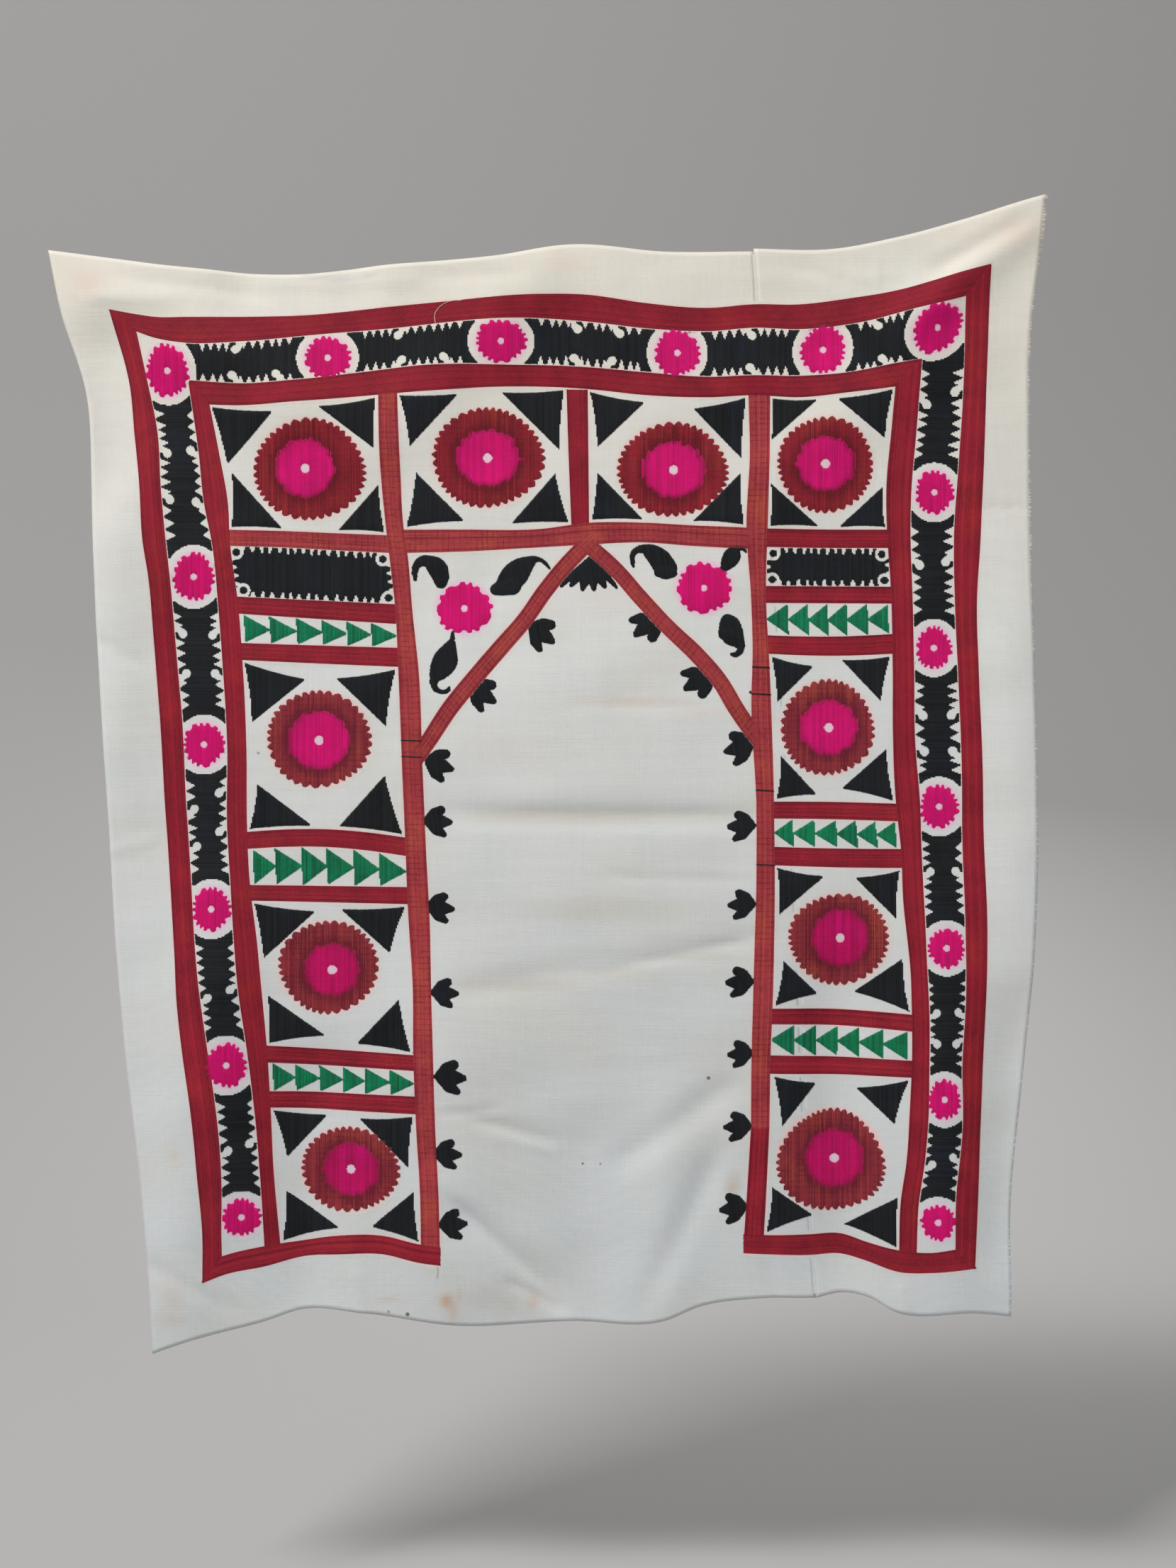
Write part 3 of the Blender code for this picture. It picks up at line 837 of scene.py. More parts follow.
def joined(parts):
    """Several sets of rows as one, their runs numbered on."""
    parts = [part for part in parts if part is not None]
    columns = []
    for name in Runs._fields:
        if name == "run":
            shifted, first = [], 0
            for part in parts:
                shifted.append(part.run + first)
                first += part.run.max() + 1
            columns.append(np.concatenate(shifted))
        else:
            columns.append(np.concatenate([getattr(part, name) for part in parts]))
    return Runs(*columns)


def to_metres(points):
    return (points[..., 0] - DRAWING_HOLD_RIGHT) * MM, (DRAWING_HOLD_DOWN - points[..., 1]) * MM


def new_shape(*values):
    """An empty shape whose points carry these named values."""
    shape = bmesh.new()
    shape.verts.layers.int.new("number")
    for name in values:
        shape.verts.layers.float.new(name)
    return shape


def lay_lines(shape, lines, breaks=(), **values):
    """Extrude a line of edges sideways, from the first of these lines of points to the last.

    The edges are left out after each break. Each value has a number for every point.
    """
    number = shape.verts.layers.int["number"]
    tables = [(shape.verts.layers.float[name], np.asarray(table).tolist()) for name, table in values.items()]
    verts = [shape.verts.new() for _ in range(lines.shape[1])]
    for index, vert in enumerate(verts):
        vert[number] = index
    edges = [
        shape.edges.new(verts[index : index + 2])
        for index in range(len(verts) - 1)
        if index not in breaks
    ]
    for line, places in enumerate(lines.tolist()):
        if line:
            grown = bmesh.ops.extrude_edge_only(shape, edges=edges)["geom"]
            verts = [part for part in grown if isinstance(part, bmesh.types.BMVert)]
            fresh = set(verts)
            edges = [
                part for part in grown
                if isinstance(part, bmesh.types.BMEdge) and part.verts[0] in fresh and part.verts[1] in fresh
            ]
        for vert in verts:
            index = vert[number]
            vert.co = places[index]
            for layer, table in tables:
                vert[layer] = table[line][index]


def finished_piece(name, shape, material, side=1):
    """The shape as an object. Its faces look out of the face of the cloth, or at -1 out of its back."""
    shape.normal_update()
    wrong = [face for face in shape.faces if face.normal.y * side > 0]
    bmesh.ops.reverse_faces(shape, faces=wrong)
    for face in shape.faces:
        face.smooth = True
    shape.verts.layers.int.remove(shape.verts.layers.int["number"])
    mesh = bpy.data.meshes.new(name)
    shape.to_mesh(mesh)
    shape.free()
    mesh.materials.append(material)
    piece = bpy.data.objects.new(name, mesh)
    bpy.context.scene.collection.objects.link(piece)
    return piece


BACK_STEP = 2
BACK_WIDTH = 1.04
BACK_LIFT = CLOTH_THICKNESS / 2 + 0.00050
STITCH_SCALE = 0.1


def thread_piece(name, runs, sides, lift, material, face):
    """Rows of thread, extruded from one side of each row to the other."""
    aside = np.stack([-runs.headings[:, 1], runs.headings[:, 0]], -1)
    lines, across = [], []
    for side in sides:
        plane = runs.points + aside * (runs.half * side)[:, None]
        x, z = to_metres(plane)
        lines.append(on_cloth(x, z, lift(side)))
        across.append((plane * aside).sum(axis=1) * STITCH_SCALE)
    shape = new_shape("shade", "along", "across")
    breaks = set(np.nonzero(runs.run[:-1] != runs.run[1:])[0].tolist())
    count = len(sides)
    lay_lines(
        shape, np.stack(lines), breaks, shade=np.tile(runs.shade, (count, 1)),
        along=np.tile(runs.along * STITCH_SCALE, (count, 1)), across=np.stack(across),
    )
    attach(finished_piece(name, shape, material, face), "root")


def add_front_rows(name, runs, material, lift=0.0):
    """The rows as low ridges on the face of the cloth."""

    def height(side):
        return ROW_BASE + lift + (ROW_CREST * runs.full if side == 0 else np.zeros(len(runs.half)))

    thread_piece(name, runs, (-1, 0, 1), height, material, 1)


def add_back_rows(name, runs, material):
    """The same rows where they come through to the back, lying flat."""
    inside = runs.run[:-1] == runs.run[1:]
    first = np.concatenate([[True], ~inside])
    last = np.concatenate([~inside, [True]])
    index = np.arange(len(first))
    start = np.maximum.accumulate(np.where(first, index, 0))
    keep = first | last | ((index - start) % BACK_STEP == 0)
    kept = Runs(*(column[keep] for column in runs))

    def depth(side):
        return np.full(len(kept.half), -BACK_LIFT)

    thread_piece(name, kept, (-BACK_WIDTH, BACK_WIDTH), depth, material, -1)


def linear(hex_colour):
    """A colour written in hex, as the linear values that shaders take."""
    channels = [int(hex_colour[start : start + 2], 16) / 255 for start in (0, 2, 4)]
    curve = [c / 12.92 if c <= 0.04045 else ((c + 0.055) / 1.055) ** 2.4 for c in channels]
    return (*curve, 1.0)


class Nodes:
    """Short names for the node calls that the materials repeat."""

    def __init__(self, tree):
        self.tree = tree

    def add(self, kind, settings=None, **inputs):
        node = self.tree.nodes.new(kind)
        for key, value in (settings or {}).items():
            setattr(node, key, value)
        for key, value in inputs.items():
            self.put(node, key, value)
        return node

    def put(self, node, key, value):
        socket = node.inputs[key]
        if isinstance(value, bpy.types.NodeSocket):
            self.tree.links.new(value, socket)
        else:
            socket.default_value = value

    def math(self, operation, first, second):
        node = self.add("ShaderNodeMath", {"operation": operation})
        self.put(node, 0, first)
        self.put(node, 1, second)
        return node.outputs[0]

    def mix(self, factor, first, second):
        """Two colours mixed. They are the mixing node's sockets 6 and 7."""
        node = self.add("ShaderNodeMix", {"data_type": "RGBA"})
        for socket, value in ((0, factor), (6, first), (7, second)):
            self.put(node, socket, value)
        return node.outputs[2]

    def noise(self, vector, scale, detail):
        node = self.add("ShaderNodeTexNoise", Scale=scale, Detail=detail, Roughness=0.55)
        self.put(node, "Vector", vector)
        return node.outputs["Fac"]

    def wave(self, vector, direction, scale, distortion):
        settings = {"wave_type": "BANDS", "bands_direction": direction}
        node = self.add("ShaderNodeTexWave", settings, Scale=scale, Distortion=distortion)
        self.put(node, "Vector", vector)
        return node.outputs["Fac"]

    def carried(self, value):
        """A value that the points of the mesh carry."""
        return self.add("ShaderNodeAttribute", {"attribute_name": value}).outputs["Fac"]

    def stretched(self, vector, scale):
        node = self.tree.nodes.new("ShaderNodeMapping")
        self.put(node, "Vector", vector)
        node.inputs["Scale"].default_value = scale
        return node.outputs[0]

    def span(self, value, low, high, out_low=0.0, out_high=1.0):
        node = self.tree.nodes.new("ShaderNodeMapRange")
        for socket, number in enumerate((value, low, high, out_low, out_high)):
            self.put(node, socket, number)
        return node.outputs[0]


LOOK_OUTPUTS = (("Color", "NodeSocketColor"), ("Normal", "NodeSocketVector"))


def new_group(name, inputs):
    """A node group for a look, which gives a colour and a normal."""
    tree = bpy.data.node_groups.new(name, "ShaderNodeTree")
    for way, sockets in (("INPUT", inputs), ("OUTPUT", LOOK_OUTPUTS)):
        for label, kind in sockets:
            tree.interface.new_socket(label, in_out=way, socket_type=kind)
    return tree, Nodes(tree), tree.nodes.new("NodeGroupInput"), tree.nodes.new("NodeGroupOutput")


def make_thread_group():
    """Thread colour: worn patches, darker couching rungs, and rows that differ."""
    tree, nodes, given, result = new_group(
        "thread_look",
        (
            ("Light", "NodeSocketColor"), ("Patch", "NodeSocketColor"),
            ("Dark", "NodeSocketColor"), ("Rungs", "NodeSocketFloat"),
        ),
    )
    place = nodes.add("ShaderNodeTexCoord").outputs["Object"]
    stitch = nodes.add("ShaderNodeCombineXYZ")
    nodes.put(stitch, "X", nodes.carried("along"))
    nodes.put(stitch, "Y", nodes.carried("across"))
    stitch = stitch.outputs[0]
    shade = nodes.carried("shade")
    patches = nodes.noise(place, 22.0, 2.0)
    fine = nodes.noise(place, 210.0, 2.0)
    ladder = nodes.wave(nodes.stretched(stitch, (1.0, 0.22, 1.0)), "X", 0.40, 2.2)
    rung = nodes.span(ladder, 0.84, 1.0)
    rung = nodes.math("MULTIPLY", rung, nodes.span(nodes.noise(place, 55.0, 2.0), 0.36, 0.60))
    strand = nodes.noise(nodes.stretched(stitch, (0.5, 9.0, 1.0)), 1.6, 2.0)
    dark = nodes.math("ADD", nodes.math("MULTIPLY", patches, 0.9), nodes.math("MULTIPLY", fine, 0.5))
    dark = nodes.math("ADD", dark, nodes.math("MULTIPLY", strand, 0.5))
    dark = nodes.math("ADD", dark, shade)
    dark = nodes.math("ADD", dark, nodes.math("MULTIPLY", rung, given.outputs["Rungs"]))
    factor = nodes.span(dark, 1.02, 1.95)
    patch = nodes.span(nodes.noise(nodes.stretched(place, (1.0, 1.0, 0.8)), 15.0, 2.0), 0.50, 0.66, 0.0, 0.85)
    colour = nodes.mix(patch, given.outputs["Light"], given.outputs["Patch"])
    colour = nodes.mix(factor, colour, given.outputs["Dark"])
    twist = nodes.wave(nodes.stretched(stitch, (1.0, 1.6, 1.0)), "DIAGONAL", 3.2, 0.6)
    bump = nodes.add("ShaderNodeBump", Strength=0.35, Distance=0.0004, Height=twist)
    nodes.put(result, "Color", colour)
    nodes.put(result, "Normal", bump.outputs[0])
    return tree


def make_cotton_group():
    """Hand-woven cotton: painted light, warm above and cooler and darker below, with slubs both ways and a
    soft mottle.
    """
    tree, nodes, _, result = new_group("cotton_look", ())
    place = nodes.add("ShaderNodeTexCoord").outputs["Object"]
    # Painted light: the colour runs from warm and light at the top to cool and darker at the bottom, as light
    # falling from above would make it.
    height = nodes.add("ShaderNodeSeparateXYZ", Vector=place).outputs["Z"]
    down = nodes.span(height, 0.0, -0.55)
    colour = nodes.mix(down, linear("EDE7DB"), linear("E3E4E2"))
    colour = nodes.mix(nodes.span(height, -0.55, -1.40), colour, linear("D6DADC"))
    mottle = nodes.noise(nodes.stretched(place, (1.0, 1.0, 1.4)), 5.5, 4.0)
    colour = nodes.mix(nodes.span(mottle, 0.44, 0.76, 0.0, 0.34), colour, linear("DAD5C4"))
    cool = nodes.noise(nodes.stretched(place, (1.3, 1.0, 0.8)), 9.0, 3.0)
    colour = nodes.mix(nodes.span(cool, 0.50, 0.80, 0.0, 0.35), colour, linear("D3DAD6"))
    weft = nodes.noise(nodes.stretched(place, (14.0, 1.0, 420.0)), 1.0, 3.0)
    warp = nodes.noise(nodes.stretched(place, (420.0, 1.0, 12.0)), 1.0, 3.0)
    slubs = nodes.math("ADD", weft, warp)
    colour = nodes.mix(nodes.span(slubs, 0.70, 0.92, 0.22, 0.0), colour, linear("F6F3EC"))
    colour = nodes.mix(nodes.span(slubs, 1.08, 1.45, 0.0, 0.20), colour, linear("BDBAAE"))
    weave = nodes.math("MULTIPLY", nodes.wave(place, "X", 330.0, 1.2), nodes.wave(place, "Z", 300.0, 1.2))
    weave = nodes.math("ADD", weave, nodes.math("MULTIPLY", slubs, 1.3))
    bump = nodes.add("ShaderNodeBump", Strength=0.55, Distance=0.0005, Height=weave)
    nodes.put(result, "Color", colour)
    nodes.put(result, "Normal", bump.outputs[0])
    return tree


THREAD_GROUP = make_thread_group()
COTTON_GROUP = make_cotton_group()


def new_material(name, roughness, sheen=0.0):
    material = bpy.data.materials.new(name)
    material.use_nodes = True
    shader = material.node_tree.nodes["Principled BSDF"]
    shader.inputs["Roughness"].default_value = roughness
    shader.inputs["Specular IOR Level"].default_value = 0.25
    shader.inputs["Sheen Weight"].default_value = sheen
    shader.inputs["Sheen Roughness"].default_value = 0.4
    return material, Nodes(material.node_tree), shader


def thread_material(name, light, patch, dark, rungs):
    material, nodes, shader = new_material(name, 0.72, sheen=0.06)
    look = nodes.add(
        "ShaderNodeGroup", {"node_tree": THREAD_GROUP},
        Light=linear(light), Patch=linear(patch), Dark=linear(dark), Rungs=rungs,
    )
    nodes.put(shader, "Base Color", look.outputs["Color"])
    nodes.put(shader, "Normal", look.outputs["Normal"])
    return material


def cotton_material(name, tints):
    """Cotton, with one colour laid over it for each named point value: stains, dirt, dye, and painted fold
    shade.
    """
    material, nodes, shader = new_material(name, 0.95)
    look = nodes.add("ShaderNodeGroup", {"node_tree": COTTON_GROUP})
    colour = look.outputs["Color"]
    for value, stain in tints:
        colour = nodes.mix(nodes.carried(value), colour, linear(stain))
    nodes.put(shader, "Base Color", colour)
    nodes.put(shader, "Normal", look.outputs["Normal"])
    return material


THREADS = {
    "crimson": thread_material("crimson_thread", "A82034", "AC2A2E", "700E22", 0.15),
    "brick": thread_material("brick_thread", "BC484A", "C25642", "82202E", 0.45),
    "brown": thread_material("brown_thread", "A0383E", "AA4A38", "701A2C", 0.35),
    "ring": thread_material("ring_thread", "9E2432", "A03A30", "6C1020", 0.25),
    "pink": thread_material("pink_thread", "E6007C", "DE006E", "BA0060", 0.10),
    "rose": thread_material("rose_thread", "D00066", "CC0070", "A4004E", 0.20),
    "black": thread_material("black_thread", "1B1E22", "17202C", "0A0B0E", 0.15),
    "green": thread_material("green_thread", "078A5C", "0A8050", "04583A", 0.15),
    "cream": thread_material("cream_thread", "EFE6D2", "E8DCC0", "CFC2A0", 0.0),
}
# The soil colour is laid both as dirt and as painted shade along the folds and creases.
COTTON = cotton_material(
    "cotton", (("soil_and_fold_shade", "A89878"), ("stain", "C68A42"), ("blush", "EBC3AC"), ("pen", "8E8FB5"))
)
BLEED = cotton_material("dyed_cotton", (("bleed", "F6C4BC"),))
SPECK_FILM = cotton_material("specked_cotton", (("bleed", "4A3A30"),))
PINK_BLEED = cotton_material("pink_dyed_cotton", (("bleed", "F9AFD8"),))

# Marks on the cotton: where each is, how far it spreads and how strong it is.
Mark = namedtuple("Mark", "right down half_x half_d strength")
# Soil marks: dirt in the old creases, and painted shade along folds, creases and wrinkles, such as the broad
# band at down 1283 and the lines near the top and right margins.
SOIL_AND_FOLD_SHADE_MARKS = (
    Mark(850, 1153, 220, 13, 0.34), Mark(720, 1150, 70, 14, 0.14), Mark(740, 1390, 120, 15, 0.30),
    Mark(880, 1372, 90, 13, 0.26), Mark(980, 1350, 80, 11, 0.24), Mark(1030, 1328, 40, 6, 0.20),
    Mark(1010, 1237, 60, 7, 0.14), Mark(830, 1283, 190, 22, 0.20), Mark(200, 440, 60, 30, 0.10),
    Mark(1036, 1670, 14, 20, 0.30), Mark(620, 1790, 40, 22, 0.14), Mark(1100, 1850, 60, 10, 0.20),
    Mark(700, 1830, 120, 20, 0.14), Mark(700, 1580, 60, 8, 0.16), Mark(1428, 712, 40, 4, 0.16),
    Mark(440, 372, 90, 5, 0.16),
)
STAIN_MARKS = (
    Mark(630, 1834, 10, 12, 0.60), Mark(640, 1850, 9, 18, 0.28), Mark(648, 1822, 6, 18, 0.14),
    Mark(752, 1838, 9, 16, 0.14), Mark(716, 1846, 12, 12, 0.10), Mark(754, 1839, 10, 6, 0.16),
    Mark(545, 1834, 30, 6, 0.18), Mark(533, 1856, 24, 6, 0.20), Mark(1032, 1680, 12, 14, 0.22),
    Mark(246, 1630, 14, 22, 0.13), Mark(246, 1826, 20, 26, 0.15), Mark(238, 1860, 26, 12, 0.15),
    Mark(1165, 1832, 40, 8, 0.12),
)
BLUSH_MARKS = (
    Mark(880, 990, 90, 8, 0.24), Mark(990, 1006, 50, 6, 0.22), Mark(860, 840, 60, 30, 0.14),
    Mark(700, 1060, 60, 40, 0.08), Mark(123, 395, 30, 24, 0.30), Mark(794, 366, 30, 16, 0.24),
    Mark(1440, 322, 34, 22, 0.26),
)
PEN_MARKS = (
    Mark(460, 386, 40, 4, 0.30), Mark(520, 384, 18, 3, 0.25), Mark(430, 381, 12, 3, 0.25),
    Mark(1247, 385, 4, 26, 0.16),
)
MARK_FALL = 1.4
MARK_LIMIT = 0.85
# How finely each width of cotton is divided.
MAIN_COLUMNS, NARROW_COLUMNS, PANEL_ROWS = 154, 54, 240


def marked(marks, x, d):
    """How strong these marks are together at each point."""
    total = np.zeros_like(x)
    for mark in marks:
        away = ((x - mark.right) / mark.half_x) ** 2 + ((d - mark.down) / mark.half_d) ** 2
        total += mark.strength * np.exp(-away * MARK_FALL)
    return np.clip(total, 0.0, MARK_LIMIT)


def add_panel(name, node, grid):
    """One width of cotton: a flat grid laid in its folds, then given its thickness."""
    rows, columns = grid.shape[0] - 1, grid.shape[1] - 1
    x, z = grid[..., 0], grid[..., 1]
    places = on_cloth(x, z, np.zeros(x.shape)).tolist()
    right, down = x / MM + DRAWING_HOLD_RIGHT, DRAWING_HOLD_DOWN - z / MM
    # The soil marks paint the shade of folds as well as dirt.
    tables = {"soil_and_fold_shade": SOIL_AND_FOLD_SHADE_MARKS, "stain": STAIN_MARKS, "blush": BLUSH_MARKS, "pen": PEN_MARKS}
    shape = new_shape(*tables)
    amounts = [
        (shape.verts.layers.float[value], marked(marks, right, down))
        for value, marks in tables.items()
    ]
    bmesh.ops.create_grid(shape, x_segments=columns, y_segments=rows, size=1.0)
    for vert in shape.verts:
        column, row = round((vert.co.x + 1) / 2 * columns), round((1 - vert.co.y) / 2 * rows)
        vert.co = places[row][column]
        for layer, amount in amounts:
            vert[layer] = amount[row, column]
    piece = finished_piece(name, shape, COTTON)
    thickness = piece.modifiers.new("thickness", "SOLIDIFY")
    thickness.thickness = CLOTH_THICKNESS
    thickness.offset = 0.0
    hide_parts(node)
    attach(piece, "root")


def add_cloth():
    """Both widths, whose edges at the seam leave a gap for it."""
    main_seam, narrow_seam = seam_edge(-1), seam_edge(1)
    main_seam[0] = EdgePoint(main_seam[0].across, MAIN_TOP_EDGE[-1].up)
    narrow_seam[0] = EdgePoint(narrow_seam[0].across, NARROW_TOP_EDGE[0].up)
    main_top = [*MAIN_TOP_EDGE[:-1], main_seam[0]]
    main_bottom = [*MAIN_BOTTOM_EDGE[:-1], main_seam[-1]]
    narrow_top = [narrow_seam[0], *NARROW_TOP_EDGE[1:]]
    narrow_bottom = [narrow_seam[-1], *NARROW_BOTTOM_EDGE[1:]]
    main_grid = panel_points(main_top, main_bottom, LEFT_EDGE, main_seam, MAIN_COLUMNS, PANEL_ROWS)
    narrow_grid = panel_points(
        narrow_top, narrow_bottom, narrow_seam, RIGHT_EDGE, NARROW_COLUMNS, PANEL_ROWS
    )
    add_panel("main_cloth", "main_panel", main_grid)
    add_panel("narrow_cloth", "narrow_panel", narrow_grid)


# Dye that bled into the cotton. Its steps are pairs: how far out, and how strong there.
BLEED_LIFT = CLOTH_THICKNESS / 2 + 0.00010
SAME_PLACE = 0.000001
BAND_BLEED = 0.8
BLEED_STEPS = ((-2.0, 0.85), (0.6, 0.8), (2.2, 0.34), (4.6, 0.0))
RIM_STEPS = ((-TOOTH - 1, 0.8), (-1.0, 0.45), (1.5, 0.2), (5.0, 0.0))
HEART_DOT_STEPS = ((0.0, 0.30), (HEART_DOT - 2, 0.45), (HEART_DOT + 1, 0.9))
FLOWER_DOT_STEPS = ((0.0, 0.35), (FLOWER_DOT, 0.8))
FLOWER_STEPS = ((-6.0, 0.9), (-1.0, 0.5), (2.0, 0.26), (7.0, 0.0))
RING_POINTS = 61


def add_bleed(name, strips, material):
    """Thin films on the cloth: each strip is a grid of drawing points with its bleed."""
    shape = new_shape("bleed")
    for grid, amount in strips:
        x, z = to_metres(grid)
        lay_lines(shape, on_cloth(x, z, np.full(x.shape, BLEED_LIFT)), bleed=amount)
    bmesh.ops.remove_doubles(shape, verts=shape.verts, dist=SAME_PLACE)
    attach(finished_piece(name, shape, material), "root")


def line_bleed(line, other, strength):
    """A strip of dyed cotton outside one edge of a band."""
    outward = line - other
    outward /= np.linalg.norm(outward, axis=1, keepdims=True)
    grid = np.stack([line + outward * reach for reach, _ in BLEED_STEPS])
    wander = 0.75 + 0.25 * np.sin(np.arange(len(line)) * 0.9 + line[0, 0])
    amount = np.stack([np.full(len(line), share) * wander for _, share in BLEED_STEPS])
    return grid, amount * strength


def ring_bleed(right, down, half_x, half_d, steps, tilt=0.0):
    """A ring of dyed cotton: an ellipse pushed out by each step."""
    angle = np.linspace(0.0, 2 * math.pi, RING_POINTS)
    cosine, sine = math.cos(math.radians(tilt)), math.sin(math.radians(tilt))
    grid, amount = [], []
    for reach, share in steps:
        across, along = (half_x + reach) * np.cos(angle), (half_d + reach) * np.sin(angle)
        grid.append(np.stack([
            right + across * cosine - along * sine, down + across * sine + along * cosine
        ], -1))
        amount.append(np.full(len(angle), share))
    return np.stack(grid), np.stack(amount)


BRICK_BANDS = ("squares left", "squares middle", "light left", "light right")
LEAST_ROWS = 4
EDGE_DARK = 0.5


def add_bands():
    """The bands and the arch, and the dye that bled beside them."""
    ribbons = [
        ("brick" if name in BRICK_BANDS else "crimson", band_lines(band))
        for name, band in BANDS.items()
    ]
    ribbons += [("brick", ribbon_lines(bends)) for bends in (ARCH_LEFT, ARCH_RIGHT)]
    runs, strips = {"crimson": [], "brick": []}, []
    for colour, (low, high) in ribbons:
        width = float(np.mean(np.linalg.norm(high - low, axis=1)))
        rows = max(round(width / BAND_PITCH), LEAST_ROWS)
        runs[colour].append(curved_runs(low, high, rows, EDGE_DARK))
        strips += [line_bleed(low, high, BAND_BLEED), line_bleed(high, low, BAND_BLEED)]
    for colour, parts in runs.items():
        add_both(f"{colour}_bands", joined(parts), colour)
    add_bleed("bands_bleed", strips, BLEED)


def add_both(name, runs, colour, lift=0.0):
    """The same rows on the face of the cloth and on its back."""
    add_front_rows(name, runs, THREADS[colour], lift)
    add_back_rows(name + "_reverse", runs, THREADS[colour])


def box_round(right, down, half_x, half_d):
    reach_x, reach_d = half_x + ROUND_MARGIN, half_d + ROUND_MARGIN
    return right - reach_x, right + reach_x, down - reach_d, down + reach_d


def darkened(runs, right, down, radius, reach, amount):
    """The same rows, darker where they come near a circle."""
    away = np.hypot(runs.points[:, 0] - right, runs.points[:, 1] - down) - radius
    return runs._replace(shade=runs.shade + amount * np.exp(-((away / reach) ** 2)))


# How far from the edge of a heart its rows darken, and by how much.
RING_SHADOW = (9.0, 0.50)
HEART_SHADOW = (6.0, 0.40)


def add_rosettes():
    """Saw-toothed rims with pink hearts. Gives the dots of the hearts, as films of dye."""
    rings, hearts, strips, dots = {"ring": [], "brown": []}, {"pink": [], "rose": []}, [], []
    for rosette in ROSETTES.values():
        heart_x, heart_d = rosette.right + rosette.heart_right, rosette.down + rosette.heart_down

        def heart(x, d):
            angle = np.arctan2(d - heart_d, x - heart_x)
            ragged = 0.9 * np.sin(9 * angle + heart_x) + 0.8 * np.sin(17 * angle)
            return signed_ellipse(x, d, heart_x, heart_d, rosette.heart_x, rosette.heart_d) + ragged

        def ring(x, d):
            return np.minimum(toothed_disc(x, d, rosette), RING_UNDER - heart(x, d))

        def dotted_heart(x, d):
            hole = np.hypot(x - heart_x, d - heart_d) - HEART_DOT
            return np.minimum(heart(x, d), 4.0 * hole)

        box = box_round(rosette.right, rosette.down, rosette.rim_x, rosette.rim_d)
        edge = (heart_x, heart_d, (rosette.heart_x + rosette.heart_d) / 2)
        rim = stitched_rows(ring, box, pitch=RING_PITCH)
        rings[rosette.thread].append(darkened(rim, *edge, *RING_SHADOW))
        rows = stitched_rows(dotted_heart, box, wander=HEART_WANDER)
        hearts[rosette.heart].append(darkened(rows, *edge, *HEART_SHADOW))
        strips.append(ring_bleed(rosette.right, rosette.down, rosette.rim_x, rosette.rim_d, RIM_STEPS))
        dots.append(ring_bleed(heart_x, heart_d, 0.0, 0.0, HEART_DOT_STEPS))
    for colour, parts in rings.items():
        add_both(f"{colour}_rings", joined(parts), colour)
    for colour, parts in hearts.items():
        add_both(f"{colour}_hearts", joined(parts), colour, HEART_LIFT)
    add_bleed("ring_bleed", strips, BLEED)
    return dots


def add_flowers(dots):
    parts = []
    for flower in (*TOP_FLOWERS, *LEFT_FLOWERS, *RIGHT_FLOWERS, *SPANDREL_FLOWERS):

        def shape(x, d):
            hole = np.hypot(x - flower.right, d - flower.down) - FLOWER_DOT
            return np.minimum(wavy_disc(x, d, flower), hole)

        reach = max(flower.half_x, flower.half_d)
        box = box_round(flower.right, flower.down, reach, reach)
        parts.append(stitched_rows(shape, box, pitch=FINE_PITCH))
        dots.append(ring_bleed(flower.right, flower.down, 0.0, 0.0, FLOWER_DOT_STEPS))
        dots.append(ring_bleed(
            flower.right, flower.down, flower.half_x, flower.half_d, FLOWER_STEPS, flower.tilt
        ))
    add_both("pink_flowers", joined(parts), "pink")
    add_bleed("pink_bleed", dots, PINK_BLEED)


# Corner triangles of a square: how far each runs along the band above or below it and along
# the band beside it, and how far each of those two tips stands off the band.
Corner = namedtuple("Corner", "edge_leg edge_gap side_leg side_gap")
TRIANGLES = {
    "top 1": (Corner(88, 11, 81, 9), Corner(82, 9, 72, 8), Corner(66, 4, 69, 4), Corner(73, 3, 78, 13)),
    "top 2": (Corner(83, 7, 72, 15), Corner(89, 8, 85, 13), Corner(82, 9, 70, 20), Corner(83, 12, 78, 22)),
    "top 3": (Corner(78, 10, 79, 13), Corner(75, 16, 86, 12), Corner(72, 6, 74, 12), Corner(74, 4, 68, 12)),
    "top 4": (Corner(64, 5, 60, 2), Corner(80, 7, 69, 9), Corner(66, 3, 58, 5), Corner(70, 4, 60, 3)),
    "left 2": (Corner(87, 23, 85, 9), Corner(85, 20, 81, 21), Corner(90, 5, 84, 25), Corner(90, 4, 64, 15)),
    "left 3": (Corner(87, 13, 78, 7), Corner(92, 9, 66, 30), Corner(78, 10, 75, 20), Corner(80, 19, 68, 8)),
    "left 4": (Corner(77, 8, 67, 20), Corner(77, 10, 72, 15), Corner(68, 11, 71, 8), Corner(81, 11, 70, 16)),
    "right 2": (Corner(60, 15, 65, 9), Corner(69, 6, 64, 17), Corner(74, 19, 74, 10), Corner(58, 10, 61, 12)),
    "right 3": (
        Corner(67, 13, 66, 7), Corner(63, 14, 69, 12), Corner(77, 26, 75, 10), Corner(62, 21, 64, 14),
    ),
    "right 4": (Corner(61, 12, 71, 18), Corner(73, 18, 63, 20), Corner(73, 14, 71, 4), Corner(67, 27, 64, 8)),
}
CORNER_GAP = 3.6
CORNER_BOW = 1.8


